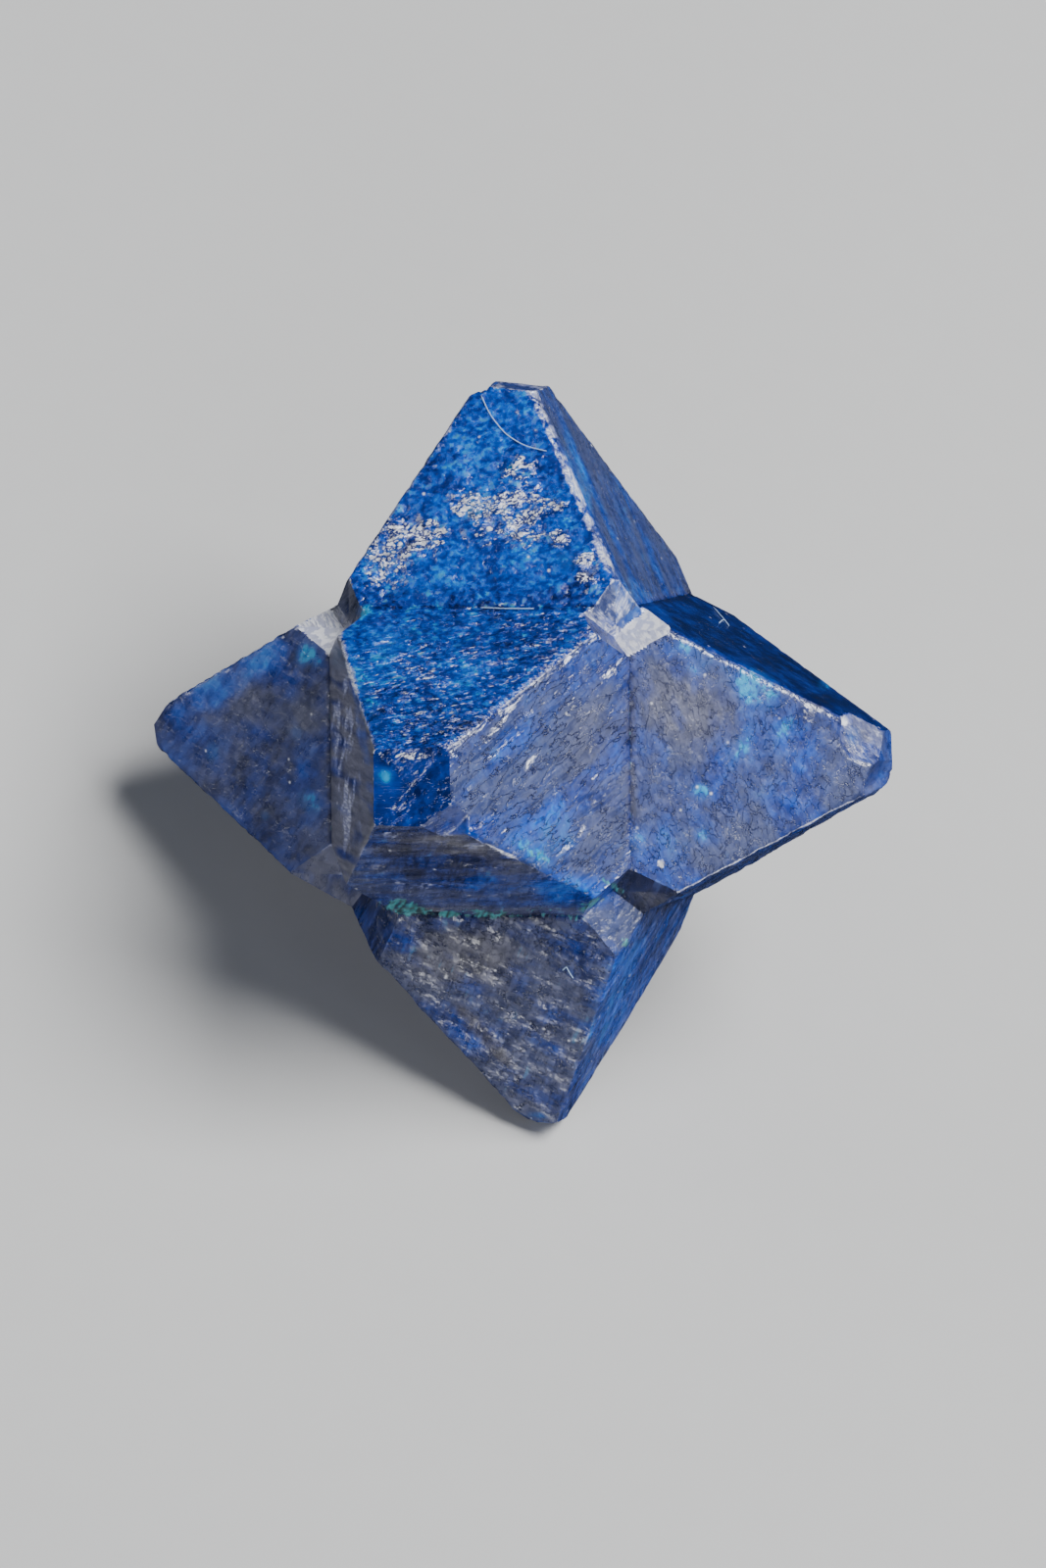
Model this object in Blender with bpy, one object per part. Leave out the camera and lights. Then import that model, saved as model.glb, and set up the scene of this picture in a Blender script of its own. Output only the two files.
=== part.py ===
"""A cumengeite star, about 18 mm from tip to tip: six blue four-sided pyramids grown together.

The pyramids stand on the six sides of a cube-shaped middle. Where three of them meet, each has its
corner cut off by a small four-cornered facet, and every tip is blunt. A star can't stand on one tip:
it leans back on two ridges that lie in one plane, one of its down pyramid and one of its back
pyramid, and both are worn flat where they touch the surface.

The star is modelled in its own axes, +X right, +Y back and +Z up, and then leaned back to rest.
"""
import math
import random
from typing import NamedTuple

import bmesh
import bpy
from mathutils import Matrix, Vector

MM = 0.001

# Middle: half the side of the cube that carries the six pyramids.
CUBE_HALF = 3.73 * MM

# Size of the blocks and cones that cut facets, larger than what they take off.
SHAVE_SIZE = 3.0 * MM
NOTCH_DEPTH = 2.6 * MM

# How far the two ridges that the star rests on are worn flat.
REST_WEAR = 0.18 * MM
REST_BLOCK = 30.0 * MM

# How far the other ridges are worn down, and the few that show a broad pale band.
RIDGE_WEAR = 0.035 * MM
BROAD_RIDGE_WEAR = 0.075 * MM
RIDGE_START = 0.10
RIDGE_BAR = 1.2 * MM
BROAD_RIDGES = (("up", "front", "right"), ("front", "right", "up"), ("right", "front", "up"))

# Every cutter reaches this far out of the face that it marks.
CLEAR = 0.35 * MM

# Marks on the sides: smallest and largest size of each kind, in mm, and how far it keeps from ridges.
PIT_RADIUS = (0.12, 0.30)
PIT_DEEPNESS = (0.30, 0.42)
PIT_SIDES = (5, 6, 7)
PIT_MARGIN = 0.55
FURROW_LENGTH = (0.7, 1.5)
FURROW_WIDTH = (0.14, 0.22)
FURROW_DEPTH = (0.05, 0.08)
FURROW_TURN = (-5, 5)
FURROW_MARGIN = 0.75
LEDGE_SPAN = (0.7, 0.9)
LEDGE_WIDTH = (0.45, 0.65)
LEDGE_DEPTH = (0.07, 0.11)
LEDGE_TURN = (-4, 4)
LEDGE_SHIFT = (-0.2, 0.2)
LEDGE_CORNERS = 7
LEDGE_OUTLINE = (0.75, 1.2)
LEAST_ROOM = 0.1

# Ledges that run nearly level cross most of their side; slanting ones are shorter.
LEVEL_SLANT = 10
LEVEL_STRETCH = 1.9

# Two directions count as the same when their dot product is above this.
SAME_WAY = 0.9

RELIEF_SEED = 11


class Spike(NamedTuple):
    """One pyramid: its axis, the height of its ideal point, that point's lean, and its blunt tip."""

    axis: tuple
    ideal: float
    lean: tuple
    tip: float
    tip_lean: tuple


class Chip(NamedTuple):
    """A small broken facet: a point on it and the direction it looks in, both in the star's axes."""

    point: tuple
    outward: tuple


class Texture(NamedTuple):
    """What is cut into one pyramid side: how many of each mark, and where up the side they lie."""

    spike: str
    side: tuple
    pits: int
    furrows: int
    ledges: int
    lowest: float
    highest: float
    slant: float


SPIKES = {
    "up": Spike((0, 0, 1), 10.20, (-0.12, -0.03, 0), 8.92, (0.10, -0.05, 0)),
    "down": Spike((0, 0, -1), 9.85, (0.60, 0.12, 0), 9.12, (0.03, 0.05, 0)),
    "left": Spike((-1, 0, 0), 9.95, (0, 0.03, 0.56), 9.12, (0, 0.05, -0.18)),
    "right": Spike((1, 0, 0), 10.30, (0, 0.02, -0.15), 9.12, (0, -0.08, 0.04)),
    "front": Spike((0, -1, 0), 10.20, (-0.45, 0, -0.33), 8.60, (0.04, 0, -0.03)),
    "back": Spike((0, 1, 0), 10.10, (0.10, 0, -0.12), 9.05, (0.06, 0, 0.08)),
}

# The inmost point of each corner notch, in mm from the star's middle.
NOTCHES = (
    (3.26, -3.34, 2.98),
    (-3.34, -3.34, 2.95),
    (-2.88, -2.88, -2.88),
    (3.12, -3.17, -3.12),
    (3.20, 3.15, 3.10),
    (-3.20, 3.25, 3.15),
    (-3.10, 3.15, -3.20),
    (3.15, 3.20, -3.15),
)

CHIPS = (
    Chip((8.92, -0.10, -0.42), (0.80, -0.10, -0.60)),
    Chip((8.62, -0.50, 0.42), (0.62, -0.62, 0.48)),
    Chip((0.26, -0.30, -9.04), (-0.42, -0.30, -0.86)),
    Chip((-9.04, -0.10, 0.94), (-0.80, -0.15, 0.58)),
    Chip((-0.66, -0.10, 8.80), (-0.62, -0.10, 0.78)),
    Chip((0.35, -8.45, -0.95), (0.45, -0.66, -0.60)),
    Chip((0.52, 8.92, 0.30), (0.55, 0.78, 0.30)),
)

# Marks on the pyramid sides. A slant in degrees turns the furrows and ledges from level.
TEXTURES = (
    Texture("up", (0, -1, 0), 26, 0, 0, 0.3, 4.4, 0),
    Texture("up", (1, 0, 0), 0, 9, 0, 0.6, 4.8, 58),
    Texture("up", (-1, 0, 0), 4, 4, 1, 0.5, 4.2, 52),
    Texture("up", (0, 1, 0), 8, 3, 1, 0.4, 4.0, 8),
    Texture("front", (0, 0, 1), 2, 14, 0, 0.4, 4.2, 6),
    Texture("front", (1, 0, 0), 2, 7, 3, 0.6, 4.4, -60),
    Texture("front", (0, 0, -1), 2, 5, 5, 0.4, 3.6, 4),
    Texture("front", (-1, 0, 0), 0, 1, 1, 0.5, 4.2, 88),
    Texture("right", (0, -1, 0), 7, 3, 0, 0.6, 4.6, 20),
    Texture("right", (0, 0, 1), 2, 3, 0, 0.6, 4.4, 70),
    Texture("right", (0, 0, -1), 4, 4, 2, 0.5, 4.0, 12),
    Texture("right", (0, 1, 0), 6, 4, 1, 0.5, 4.0, 30),
    Texture("left", (0, -1, 0), 3, 1, 0, 0.6, 4.2, 75),
    Texture("left", (0, 0, 1), 5, 3, 1, 0.5, 4.0, 15),
    Texture("left", (0, 0, -1), 5, 3, 1, 0.5, 4.0, 20),
    Texture("left", (0, 1, 0), 6, 3, 1, 0.5, 4.0, 10),
    Texture("down", (0, -1, 0), 20, 6, 3, 0.5, 4.9, -40),
    Texture("down", (1, 0, 0), 0, 12, 0, 0.5, 4.6, 62),
    Texture("down", (-1, 0, 0), 5, 3, 1, 0.5, 4.2, 40),
    Texture("down", (0, 1, 0), 6, 4, 1, 0.5, 4.2, 25),
    Texture("back", (0, 0, 1), 6, 3, 1, 0.5, 4.0, 10),
    Texture("back", (1, 0, 0), 4, 4, 1, 0.5, 4.0, 60),
    Texture("back", (-1, 0, 0), 4, 4, 1, 0.5, 4.0, 50),
    Texture("back", (0, 0, -1), 6, 3, 1, 0.5, 4.0, 15),
)

BLUE = (0.010, 0.055, 0.240, 1.0)


def clear_scene():
    """Remove every object that the file starts with."""
    for found in list(bpy.data.objects):
        bpy.data.objects.remove(found, do_unlink=True)


def new_collection(name):
    """Make a collection under the scene's own."""
    made = bpy.data.collections.new(name)
    bpy.context.scene.collection.children.link(made)
    return made


def apex(spike):
    """The ideal point of a pyramid, where its four ridges would meet."""
    return (Vector(spike.axis) * spike.ideal + Vector(spike.lean)) * MM


def star_mesh():
    """A cube whose six sides are each drawn out to a point."""
    bm = bmesh.new()
    bmesh.ops.create_cube(bm, size=2 * CUBE_HALF)
    middles = bmesh.ops.poke(bm, faces=bm.faces[:])["verts"]
    for middle in middles:
        towards = middle.co.normalized()
        spike = next(s for s in SPIKES.values() if towards.dot(Vector(s.axis)) > SAME_WAY)
        middle.co = apex(spike)
    mesh = bpy.data.meshes.new("star")
    bm.to_mesh(mesh)
    bm.free()
    return mesh


def turned(z_axis, y_hint):
    """A rotation whose Z axis is z_axis and whose Y axis leans towards y_hint."""
    z_dir = Vector(z_axis).normalized()
    x_dir = Vector(y_hint).cross(z_dir).normalized()
    y_dir = z_dir.cross(x_dir)
    return Matrix((x_dir, y_dir, z_dir)).transposed().to_4x4()


def any_side(direction):
    """Some direction that is well away from the given one."""
    flat = [abs(c) for c in direction]
    least = flat.index(min(flat))
    return Vector([1.0 if i == least else 0.0 for i in range(3)])


class Cutters:
    """Shapes that are taken off the star: each is an object of its own in one collection."""

    def __init__(self, collection, holder):
        self.collection = collection
        self.holder = holder

    def add(self, name, bm, placing):
        """Link a cutter, drawn as wire and left out of renders, and place it in the star's axes."""
        mesh = bpy.data.meshes.new(name)
        bm.to_mesh(mesh)
        bm.free()
        cutter = bpy.data.objects.new(name, mesh)
        cutter.display_type = "WIRE"
        cutter.hide_render = True
        cutter.parent = self.holder
        cutter.matrix_local = placing
        self.collection.objects.link(cutter)
        return cutter

    def shave(self, name, point, outward, size=SHAVE_SIZE):
        """A block that takes off all that lies outside one plane, near a point on it."""
        bm = bmesh.new()
        bmesh.ops.create_cube(bm, size=size)
        bmesh.ops.translate(bm, verts=bm.verts[:], vec=(0, 0, size / 2))
        placing = Matrix.Translation(point) @ turned(outward, any_side(outward))
        return self.add(name, bm, placing)

    def notch(self, name, inmost):
        """A three-sided cone that opens outward from the inmost point of a corner notch.

        Its sides are the planes that cut the three pyramids' ridges square to the diagonals.
        """
        signs = Vector([math.copysign(1.0, c) for c in inmost])
        diagonal = signs.normalized()
        edge = Vector((signs.x, signs.y, -signs.z))
        radius = NOTCH_DEPTH * math.tan(diagonal.angle(edge))
        bm = bmesh.new()
        bmesh.ops.create_cone(
            bm, cap_ends=True, segments=3, radius1=0.0, radius2=radius, depth=NOTCH_DEPTH
        )
        bmesh.ops.translate(bm, verts=bm.verts[:], vec=(0, 0, NOTCH_DEPTH / 2))
        placing = Matrix.Translation(inmost) @ turned(diagonal, edge)
        return self.add(name, bm, placing)

    def pit(self, name, placing, radius, depth, sides):
        """A shallow cone-shaped pit: its point lies depth under the face."""
        reach = depth + CLEAR
        bm = bmesh.new()
        bmesh.ops.create_cone(
            bm, cap_ends=True, segments=sides, radius1=0.0, radius2=radius * reach / depth, depth=reach
        )
        bmesh.ops.translate(bm, verts=bm.verts[:], vec=(0, 0, CLEAR - reach / 2))
        return self.add(name, bm, placing)

    def furrow(self, name, placing, length, width, depth):
        """A boat-shaped furrow: half of a long eight-sided body sunk in the face."""
        bm = bmesh.new()
        bmesh.ops.create_uvsphere(bm, u_segments=4, v_segments=2, radius=1.0)
        bmesh.ops.scale(bm, verts=bm.verts[:], vec=(length / 2, width / 2, depth))
        return self.add(name, bm, placing)

    def ledge(self, name, placing, length, width, depth, rng):
        """A step with a broken outline: a thin plate, level with the face on one long side."""
        tip_over = Matrix.Rotation(-math.atan2(depth, width), 4, "X")
        bm = bmesh.new()
        bmesh.ops.create_cone(
            bm, cap_ends=True, segments=LEDGE_CORNERS, radius1=0.5, radius2=0.5, depth=1.0
        )
        for foot in [v for v in bm.verts if v.co.z < 0]:
            head = next(e.other_vert(foot) for e in foot.link_edges if e.other_vert(foot).co.z > 0)
            stretch = rng.uniform(*LEDGE_OUTLINE)
            for vert in (foot, head):
                vert.co.x *= stretch
                vert.co.y *= stretch
        bmesh.ops.scale(bm, verts=bm.verts[:], vec=(length, width, CLEAR))
        bmesh.ops.translate(bm, verts=bm.verts[:], vec=(0, width / 2, CLEAR / 2))
        return self.add(name, bm, placing @ tip_over)

    def plane_off(self, name, start, end, outward, width):
        """A long bar that wears a ridge flat, from its start to its end."""
        along = end - start
        across = outward.cross(along).normalized()
        level = along.cross(across).normalized()
        if level.dot(outward) < 0:
            level.negate()
        bm = bmesh.new()
        bmesh.ops.create_cube(bm, size=1.0)
        bmesh.ops.scale(bm, verts=bm.verts[:], vec=(width, along.length, width))
        bmesh.ops.translate(bm, verts=bm.verts[:], vec=(0, 0, width / 2))
        placing = Matrix.Translation((start + end) / 2) @ turned(level, along)
        return self.add(name, bm, placing)


class Side:
    """One side of a pyramid, with a frame on it: u level along its foot, v up the slope, n out."""

    def __init__(self, spike, side):
        axis = Vector(spike.axis)
        outward = Vector(side)
        along = axis.cross(outward)
        self.foot = (axis + outward) * CUBE_HALF
        self.tip_at = apex(spike)
        left = self.foot - along * CUBE_HALF
        right = self.foot + along * CUBE_HALF
        self.along = along
        self.normal = (right - left).cross(self.tip_at - left).normalized()
        if self.normal.dot(outward) < 0:
            self.normal.negate()
        self.upslope = self.tip_at - self.foot
        self.upslope -= self.along * self.upslope.dot(self.along)
        self.height = self.upslope.length
        self.upslope.normalize()
        self.lean = (self.tip_at - self.foot).dot(self.along)

    def room(self, v):
        """The middle and half the width of the side at height v up its slope."""
        share = 1.0 - v / self.height
        return self.lean * (v / self.height), CUBE_HALF * share

    def spot(self, texture, margin, rng):
        """Somewhere on the side between the texture's heights, margin away from the ridges."""
        v = rng.uniform(texture.lowest * MM, texture.highest * MM)
        middle, half = self.room(v)
        return middle + rng.uniform(-1, 1) * max(half - margin * MM, LEAST_ROOM * MM), v

    def placing(self, u, v, degrees):
        """Where a mark goes: u and v on the side, turned about its outward normal."""
        frame = Matrix((self.along, self.normal.cross(self.along), self.normal)).transposed().to_4x4()
        at = self.foot + self.along * u + self.upslope * v
        return Matrix.Translation(at) @ frame @ Matrix.Rotation(math.radians(degrees), 4, "Z")


def cut_pits(cutters, side, texture, label, rng):
    """Cone-shaped pits, scattered over one side."""
    for n in range(texture.pits):
        u, v = side.spot(texture, PIT_MARGIN, rng)
        radius = rng.uniform(*PIT_RADIUS) * MM
        placing = side.placing(u, v, rng.uniform(0, 90))
        depth = radius * rng.uniform(*PIT_DEEPNESS)
        cutters.pit(f"pit_{label}_{n}", placing, radius, depth, rng.choice(PIT_SIDES))


def cut_furrows(cutters, side, texture, label, rng):
    """Furrows that run the way the texture slants, scattered over one side."""
    for n in range(texture.furrows):
        u, v = side.spot(texture, FURROW_MARGIN, rng)
        placing = side.placing(u, v, texture.slant + rng.uniform(*FURROW_TURN))
        length = rng.uniform(*FURROW_LENGTH) * MM
        width = rng.uniform(*FURROW_WIDTH) * MM
        cutters.furrow(f"furrow_{label}_{n}", placing, length, width, rng.uniform(*FURROW_DEPTH) * MM)


def cut_ledges(cutters, side, texture, label, rng):
    """Ledges one above another up one side."""
    for n in range(texture.ledges):
        share = (n + 0.5) / texture.ledges
        v = (texture.lowest + (texture.highest - texture.lowest) * share) * MM
        middle, half = side.room(v)
        u = middle + rng.uniform(*LEDGE_SHIFT) * half
        placing = side.placing(u, v, texture.slant + rng.uniform(*LEDGE_TURN))
        stretch = LEVEL_STRETCH if abs(texture.slant) < LEVEL_SLANT else 1.0
        length = half * rng.uniform(*LEDGE_SPAN) * stretch
        width = rng.uniform(*LEDGE_WIDTH) * MM
        depth = rng.uniform(*LEDGE_DEPTH) * MM
        cutters.ledge(f"ledge_{label}_{n}", placing, length, width, depth, rng)


def cut_marks(cutters, rng):
    """Pits, furrows and ledges on every pyramid side, as its texture says."""
    for index, texture in enumerate(TEXTURES):
        side = Side(SPIKES[texture.spike], texture.side)
        label = f"{texture.spike}_{index:02d}"
        cut_pits(cutters, side, texture, label, rng)
        cut_furrows(cutters, side, texture, label, rng)
        cut_ledges(cutters, side, texture, label, rng)


def beside(first, second):
    """Whether two pyramids stand on sides of the cube that share an edge."""
    return not Vector(SPIKES[first].axis).dot(Vector(SPIKES[second].axis))


def wear_ridges(cutters):
    """Wear every ridge of every pyramid down to a narrow flat band."""
    for name, spike in SPIKES.items():
        around = sorted(other for other in SPIKES if beside(name, other))
        pairs = [(a, b) for a in around for b in around if a < b and beside(a, b)]
        for first, second in pairs:
            out = Vector(SPIKES[first].axis) + Vector(SPIKES[second].axis)
            foot = (Vector(spike.axis) + out) * CUBE_HALF
            depth = BROAD_RIDGE_WEAR if (name, first, second) in BROAD_RIDGES else RIDGE_WEAR
            normals = [Side(spike, SPIKES[n].axis).normal for n in (first, second)]
            outward = (normals[0] + normals[1]).normalized()
            start = foot.lerp(apex(spike), RIDGE_START) - outward * depth
            end = apex(spike) - outward * depth
            cutters.plane_off(f"wear_{name}_{first}_{second}", start, end, outward, RIDGE_BAR)


def leaning_back(cutters):
    """The rotation that rests the star on two ridges, and the block that wears those flat.

    Both ridges start at one corner of the middle cube, so that corner and the ideal points of the
    down and back pyramids give the surface that the star rests on.
    """
    corner = Vector((-1, 1, -1)) * CUBE_HALF
    level = (apex(SPIKES["down"]) - corner).cross(apex(SPIKES["back"]) - corner).normalized()
    if level.dot(corner) > 0:
        level.negate()
    front = Vector(SPIKES["front"].axis)
    y_dir = -(front - level * front.dot(level)).normalized()
    turn = Matrix((y_dir.cross(level), y_dir, level))
    rest = corner + level * REST_WEAR
    cutters.shave("rest_wear", rest, -level, REST_BLOCK)
    return turn.to_4x4(), rest.dot(level)


def material():
    """Deep blue, glassy to satin."""
    made = bpy.data.materials.new("cumengeite_blue")
    made.use_nodes = True
    shader = made.node_tree.nodes["Principled BSDF"]
    shader.inputs["Base Color"].default_value = BLUE
    shader.inputs["Roughness"].default_value = 0.35
    shader.inputs["Metallic"].default_value = 0.0
    return made


def centre_over_origin(holder, crystal, turn, lowest):
    """Stand the star's lowest points at z = 0 and the middle of its box over the origin."""
    holder.matrix_world = Matrix.Translation((0, 0, -lowest)) @ turn
    bpy.context.view_layer.update()
    shaped = crystal.evaluated_get(bpy.context.evaluated_depsgraph_get())
    mesh = shaped.to_mesh()
    corners = [holder.matrix_world @ v.co for v in mesh.vertices]
    shaped.to_mesh_clear()
    shift = [-(min(c[i] for c in corners) + max(c[i] for c in corners)) / 2 for i in range(2)]
    holder.matrix_world = Matrix.Translation((shift[0], shift[1], -lowest)) @ turn
    bpy.context.view_layer.update()


def main():
    clear_scene()
    parts = new_collection("cumengeite")
    cutting = new_collection("cutters")
    holder = bpy.data.objects.new("star_axes", None)
    parts.objects.link(holder)

    crystal = bpy.data.objects.new("cumengeite_star", star_mesh())
    crystal.data.materials.append(material())
    crystal.parent = holder
    parts.objects.link(crystal)

    cutters = Cutters(cutting, holder)
    for name, spike in SPIKES.items():
        axis = Vector(spike.axis)
        cutters.shave(f"tip_{name}", axis * spike.tip * MM, axis + Vector(spike.tip_lean))
    for index, inmost in enumerate(NOTCHES):
        cutters.notch(f"notch_{index}", Vector(inmost) * MM)
    for index, chip in enumerate(CHIPS):
        cutters.shave(f"chip_{index}", Vector(chip.point) * MM, Vector(chip.outward), SHAVE_SIZE / 2)
    wear_ridges(cutters)
    cut_marks(cutters, random.Random(RELIEF_SEED))
    turn, lowest = leaning_back(cutters)

    carve = crystal.modifiers.new("carve", "BOOLEAN")
    carve.operation = "DIFFERENCE"
    carve.solver = "EXACT"
    carve.operand_type = "COLLECTION"
    carve.collection = cutting
    centre_over_origin(holder, crystal, turn, lowest)


main()
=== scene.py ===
"""A cumengeite star, dressed: six blue pyramids grown together, worn, filmed and crusted,
with painted sheen, glow, glints, highlights and shade.

The star's shape is worked out from the same named sizes as its solid. Its surface is one closed
lattice whose relief, tones, crust, wear and painted light are functions of the place on each
pyramid side.
"""
from __future__ import annotations

import itertools
import logging
import math
from dataclasses import dataclass, field
from enum import Enum, IntEnum

import bpy
import numpy as np
from mathutils import Matrix, Vector

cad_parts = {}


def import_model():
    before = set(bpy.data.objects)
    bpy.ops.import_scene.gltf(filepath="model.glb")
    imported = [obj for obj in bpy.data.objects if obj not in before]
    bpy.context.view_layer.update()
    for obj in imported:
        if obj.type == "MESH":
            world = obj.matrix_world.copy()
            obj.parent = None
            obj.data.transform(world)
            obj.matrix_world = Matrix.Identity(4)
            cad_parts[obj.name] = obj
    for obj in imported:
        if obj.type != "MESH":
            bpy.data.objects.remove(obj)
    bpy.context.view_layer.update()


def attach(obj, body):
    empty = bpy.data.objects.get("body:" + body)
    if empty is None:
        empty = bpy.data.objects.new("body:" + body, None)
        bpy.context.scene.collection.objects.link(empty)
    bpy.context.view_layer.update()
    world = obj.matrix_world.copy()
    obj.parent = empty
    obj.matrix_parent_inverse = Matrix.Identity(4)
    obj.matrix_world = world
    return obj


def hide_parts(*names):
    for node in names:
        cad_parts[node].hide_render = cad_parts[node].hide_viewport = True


LOG = logging.getLogger("cumengeite_star")

MM = 0.001
HALF = 0.5
Triple = tuple[float, float, float]
Pair = tuple[float, float]
Side = tuple[str, str]
Ridge = tuple[str, str, str]
Colour = Triple
Mix = tuple[tuple[str, float], ...]
Socket = bpy.types.NodeSocket
Sockets = bpy.types.bpy_prop_collection
Value = Socket | float | tuple[float, ...]
Inputs = dict[str | int, Value]
Coat = tuple[tuple[Socket, Socket | Colour], ...]

NODE = "cumengeite_star"
BODY = "root"

# The numbers of the colour sockets of a mix node.
COLOUR_A, COLOUR_B, COLOUR_OUT = 6, 7, 2

NOISE_ROUGHNESS = 0.55
WAVER_SCALE = 1.4
WAVER_DETAIL = 3.0

# Directions of the star's own axes: +X right, +Y back, +Z up.
AXES: dict[str, np.ndarray] = {
    "up": np.array((0, 0, 1)),
    "down": np.array((0, 0, -1)),
    "left": np.array((-1, 0, 0)),
    "right": np.array((1, 0, 0)),
    "front": np.array((0, -1, 0)),
    "back": np.array((0, 1, 0)),
}


class Relief(Enum):
    """Which kind of growth marks cover a pyramid side."""

    MELTED = "rounded plates and pits between them"
    DASHES = "short level dashes"
    RIPPLES = "slanting ripples that waver"
    CRAZED = "fine crooked wrinkles"
    SCALES = "rough overlapping scales"
    STRIPES = "straight fine stripes"
    LEDGES = "level streaks and broken ledges"
    QUIET = "almost smooth"


class Form(Enum):
    """How the hills of one layer of relief are shaped."""

    HILLS = "left as they are"
    STEPS = "level plates with steep risers"
    BLUFFS = "pressed flat above and below"
    CREASES = "narrow grooves along their zero lines"


@dataclass(frozen=True)
class Layer:
    """One layer of relief: its weight in the sum, and its hills' length and width in mm.

    Own keeps it apart from layers of the same size. Gain stretches the hills before they are
    shaped, and riser is the part of a step that rises. A bent layer wavers across the grain.
    """

    weight: float
    long: float
    wide: float
    own: float = 0.0
    form: Form = Form.HILLS
    gain: float = 1.0
    riser: float = 0.3
    bent: bool = True

    def shaped(self, hills: np.ndarray) -> np.ndarray:
        """The hills after the layer's gain and form, times its weight.

        Args:
            hills: heights between about -1 and 1.

        Returns:
            The layer's own heights.
        """
        high = self.gain * hills
        if self.form is Form.STEPS:
            high = stairs(high, self.riser)
        elif self.form is Form.BLUFFS:
            high = np.tanh(high)
        elif self.form is Form.CREASES:
            high = np.minimum(np.abs(high), 1)
        return self.weight * high


RELIEFS: dict[Relief, tuple[Layer, ...]] = {
    Relief.MELTED: (
        Layer(0.45, 0.85, 0.60, form=Form.STEPS, gain=1.8),
        Layer(0.45, 0.36, 0.30, bent=False),
        Layer(0.25, 0.24, 0.24, 3.3, bent=False),
    ),
    Relief.DASHES: (
        Layer(0.45, 0.62, 0.20, form=Form.BLUFFS, gain=3),
        Layer(0.40, 1.10, 0.38, 1.7),
        Layer(0.15, 0.24, 0.24, 3.3, bent=False),
    ),
    Relief.RIPPLES: (
        Layer(0.60, 1.10, 0.27, form=Form.BLUFFS, gain=2),
        Layer(0.40, 0.55, 0.20, 1.7),
    ),
    Relief.CRAZED: (
        Layer(0.80, 0.80, 0.50, form=Form.CREASES, gain=3),
        Layer(0.30, 0.50, 0.30, 1.7, bent=False),
    ),
    Relief.SCALES: (
        Layer(0.40, 0.95, 0.42, form=Form.STEPS, gain=2.2),
        Layer(0.40, 0.42, 0.22, 1.7, bent=False),
        Layer(0.25, 0.24, 0.24, 3.3, bent=False),
    ),
    Relief.STRIPES: (
        Layer(0.60, 3.60, 0.22, bent=False),
        Layer(0.50, 1.40, 0.30, 1.7),
    ),
    Relief.LEDGES: (
        Layer(0.60, 2.20, 0.62, form=Form.STEPS, gain=2.4, riser=0.22),
        Layer(0.30, 0.70, 0.18, 1.7, bent=False),
    ),
    Relief.QUIET: (
        Layer(0.70, 1.50, 1.20, bent=False),
        Layer(0.25, 0.24, 0.24, 3.3, bent=False),
    ),
}


@dataclass(frozen=True)
class Spike:
    """One pyramid, in mm: the height and lean of its ideal point, and of its blunt tip."""

    ideal: float
    lean: Triple
    tip: float
    tip_lean: Triple


@dataclass(frozen=True)
class Chip:
    """A small broken facet: a point on it, in mm, and the direction it looks in."""

    point: Triple
    outward: Triple


@dataclass(frozen=True)
class Look:
    """How one pyramid side looks.

    The slant turns its grain from level, in degrees. Depth is the height of its relief in mm.
    Sheen film, azure and shade are shares from 0 to 1 of the grey-lavender film with a painted sheen
    of reflected light on it, the bright blue that is partly a painted glow from inside, and the
    painted shade; rough is its roughness. Plate is the length and width in mm of the small growth
    plates that catch the light, and tilt is how steeply they lean. Wrinkle and mottle are how strong
    its creases, with painted shade in them, and its fine speckle are, from 0 to 1.
    """

    relief: Relief
    slant: float
    depth: float
    sheen_film: float
    azure: float
    shade: float
    rough: float
    plate: Pair
    tilt: float
    wrinkle: float = 0.3
    mottle: float = 0.7


class Tone(IntEnum):
    """What the surface carries a share of at every corner, in the order of its two attributes."""

    # Film with a painted sheen of reflected light.
    SHEEN_FILM = 0
    # Bright blue, partly a painted glow from inside the crystal.
    AZURE = 1
    SHADE = 2
    ROUGH = 3
    # Painted glow from inside the crystal.
    CYAN = 4
    CRUST = 5
    # Wear, with painted highlights.
    WHITE = 6
    # Higher relief, and painted white glints.
    GLINT = 7


@dataclass(frozen=True)
class Mark:
    """An elliptic patch seen from the camera: its middle and half its size, in photograph pixels.

    The tilt turns it anticlockwise, in degrees. Strength is added to that tone's share.
    """

    column: float
    row: float
    half_width: float
    half_height: float
    tilt: float = 0.0
    strength: float = 1.0


SPIKES: dict[str, Spike] = {
    "up": Spike(10.20, (-0.12, -0.03, 0), 8.92, (0.10, -0.05, 0)),
    "down": Spike(9.85, (0.60, 0.12, 0), 9.12, (0.03, 0.05, 0)),
    "left": Spike(9.95, (0, 0.03, 0.56), 9.12, (0, 0.05, -0.18)),
    "right": Spike(10.30, (0, 0.02, -0.15), 9.12, (0, -0.08, 0.04)),
    "front": Spike(10.20, (-0.45, 0, -0.33), 8.60, (0.04, 0, -0.03)),
    "back": Spike(10.10, (0.10, 0, -0.12), 9.05, (0.06, 0, 0.08)),
}

# The inmost point of each corner notch, in mm from the star's middle.
NOTCHES: tuple[Triple, ...] = (
    (3.26, -3.34, 2.98),
    (-3.34, -3.34, 2.95),
    (-2.88, -2.88, -2.88),
    (3.12, -3.17, -3.12),
    (3.20, 3.15, 3.10),
    (-3.20, 3.25, 3.15),
    (-3.10, 3.15, -3.20),
    (3.15, 3.20, -3.15),
)

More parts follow.
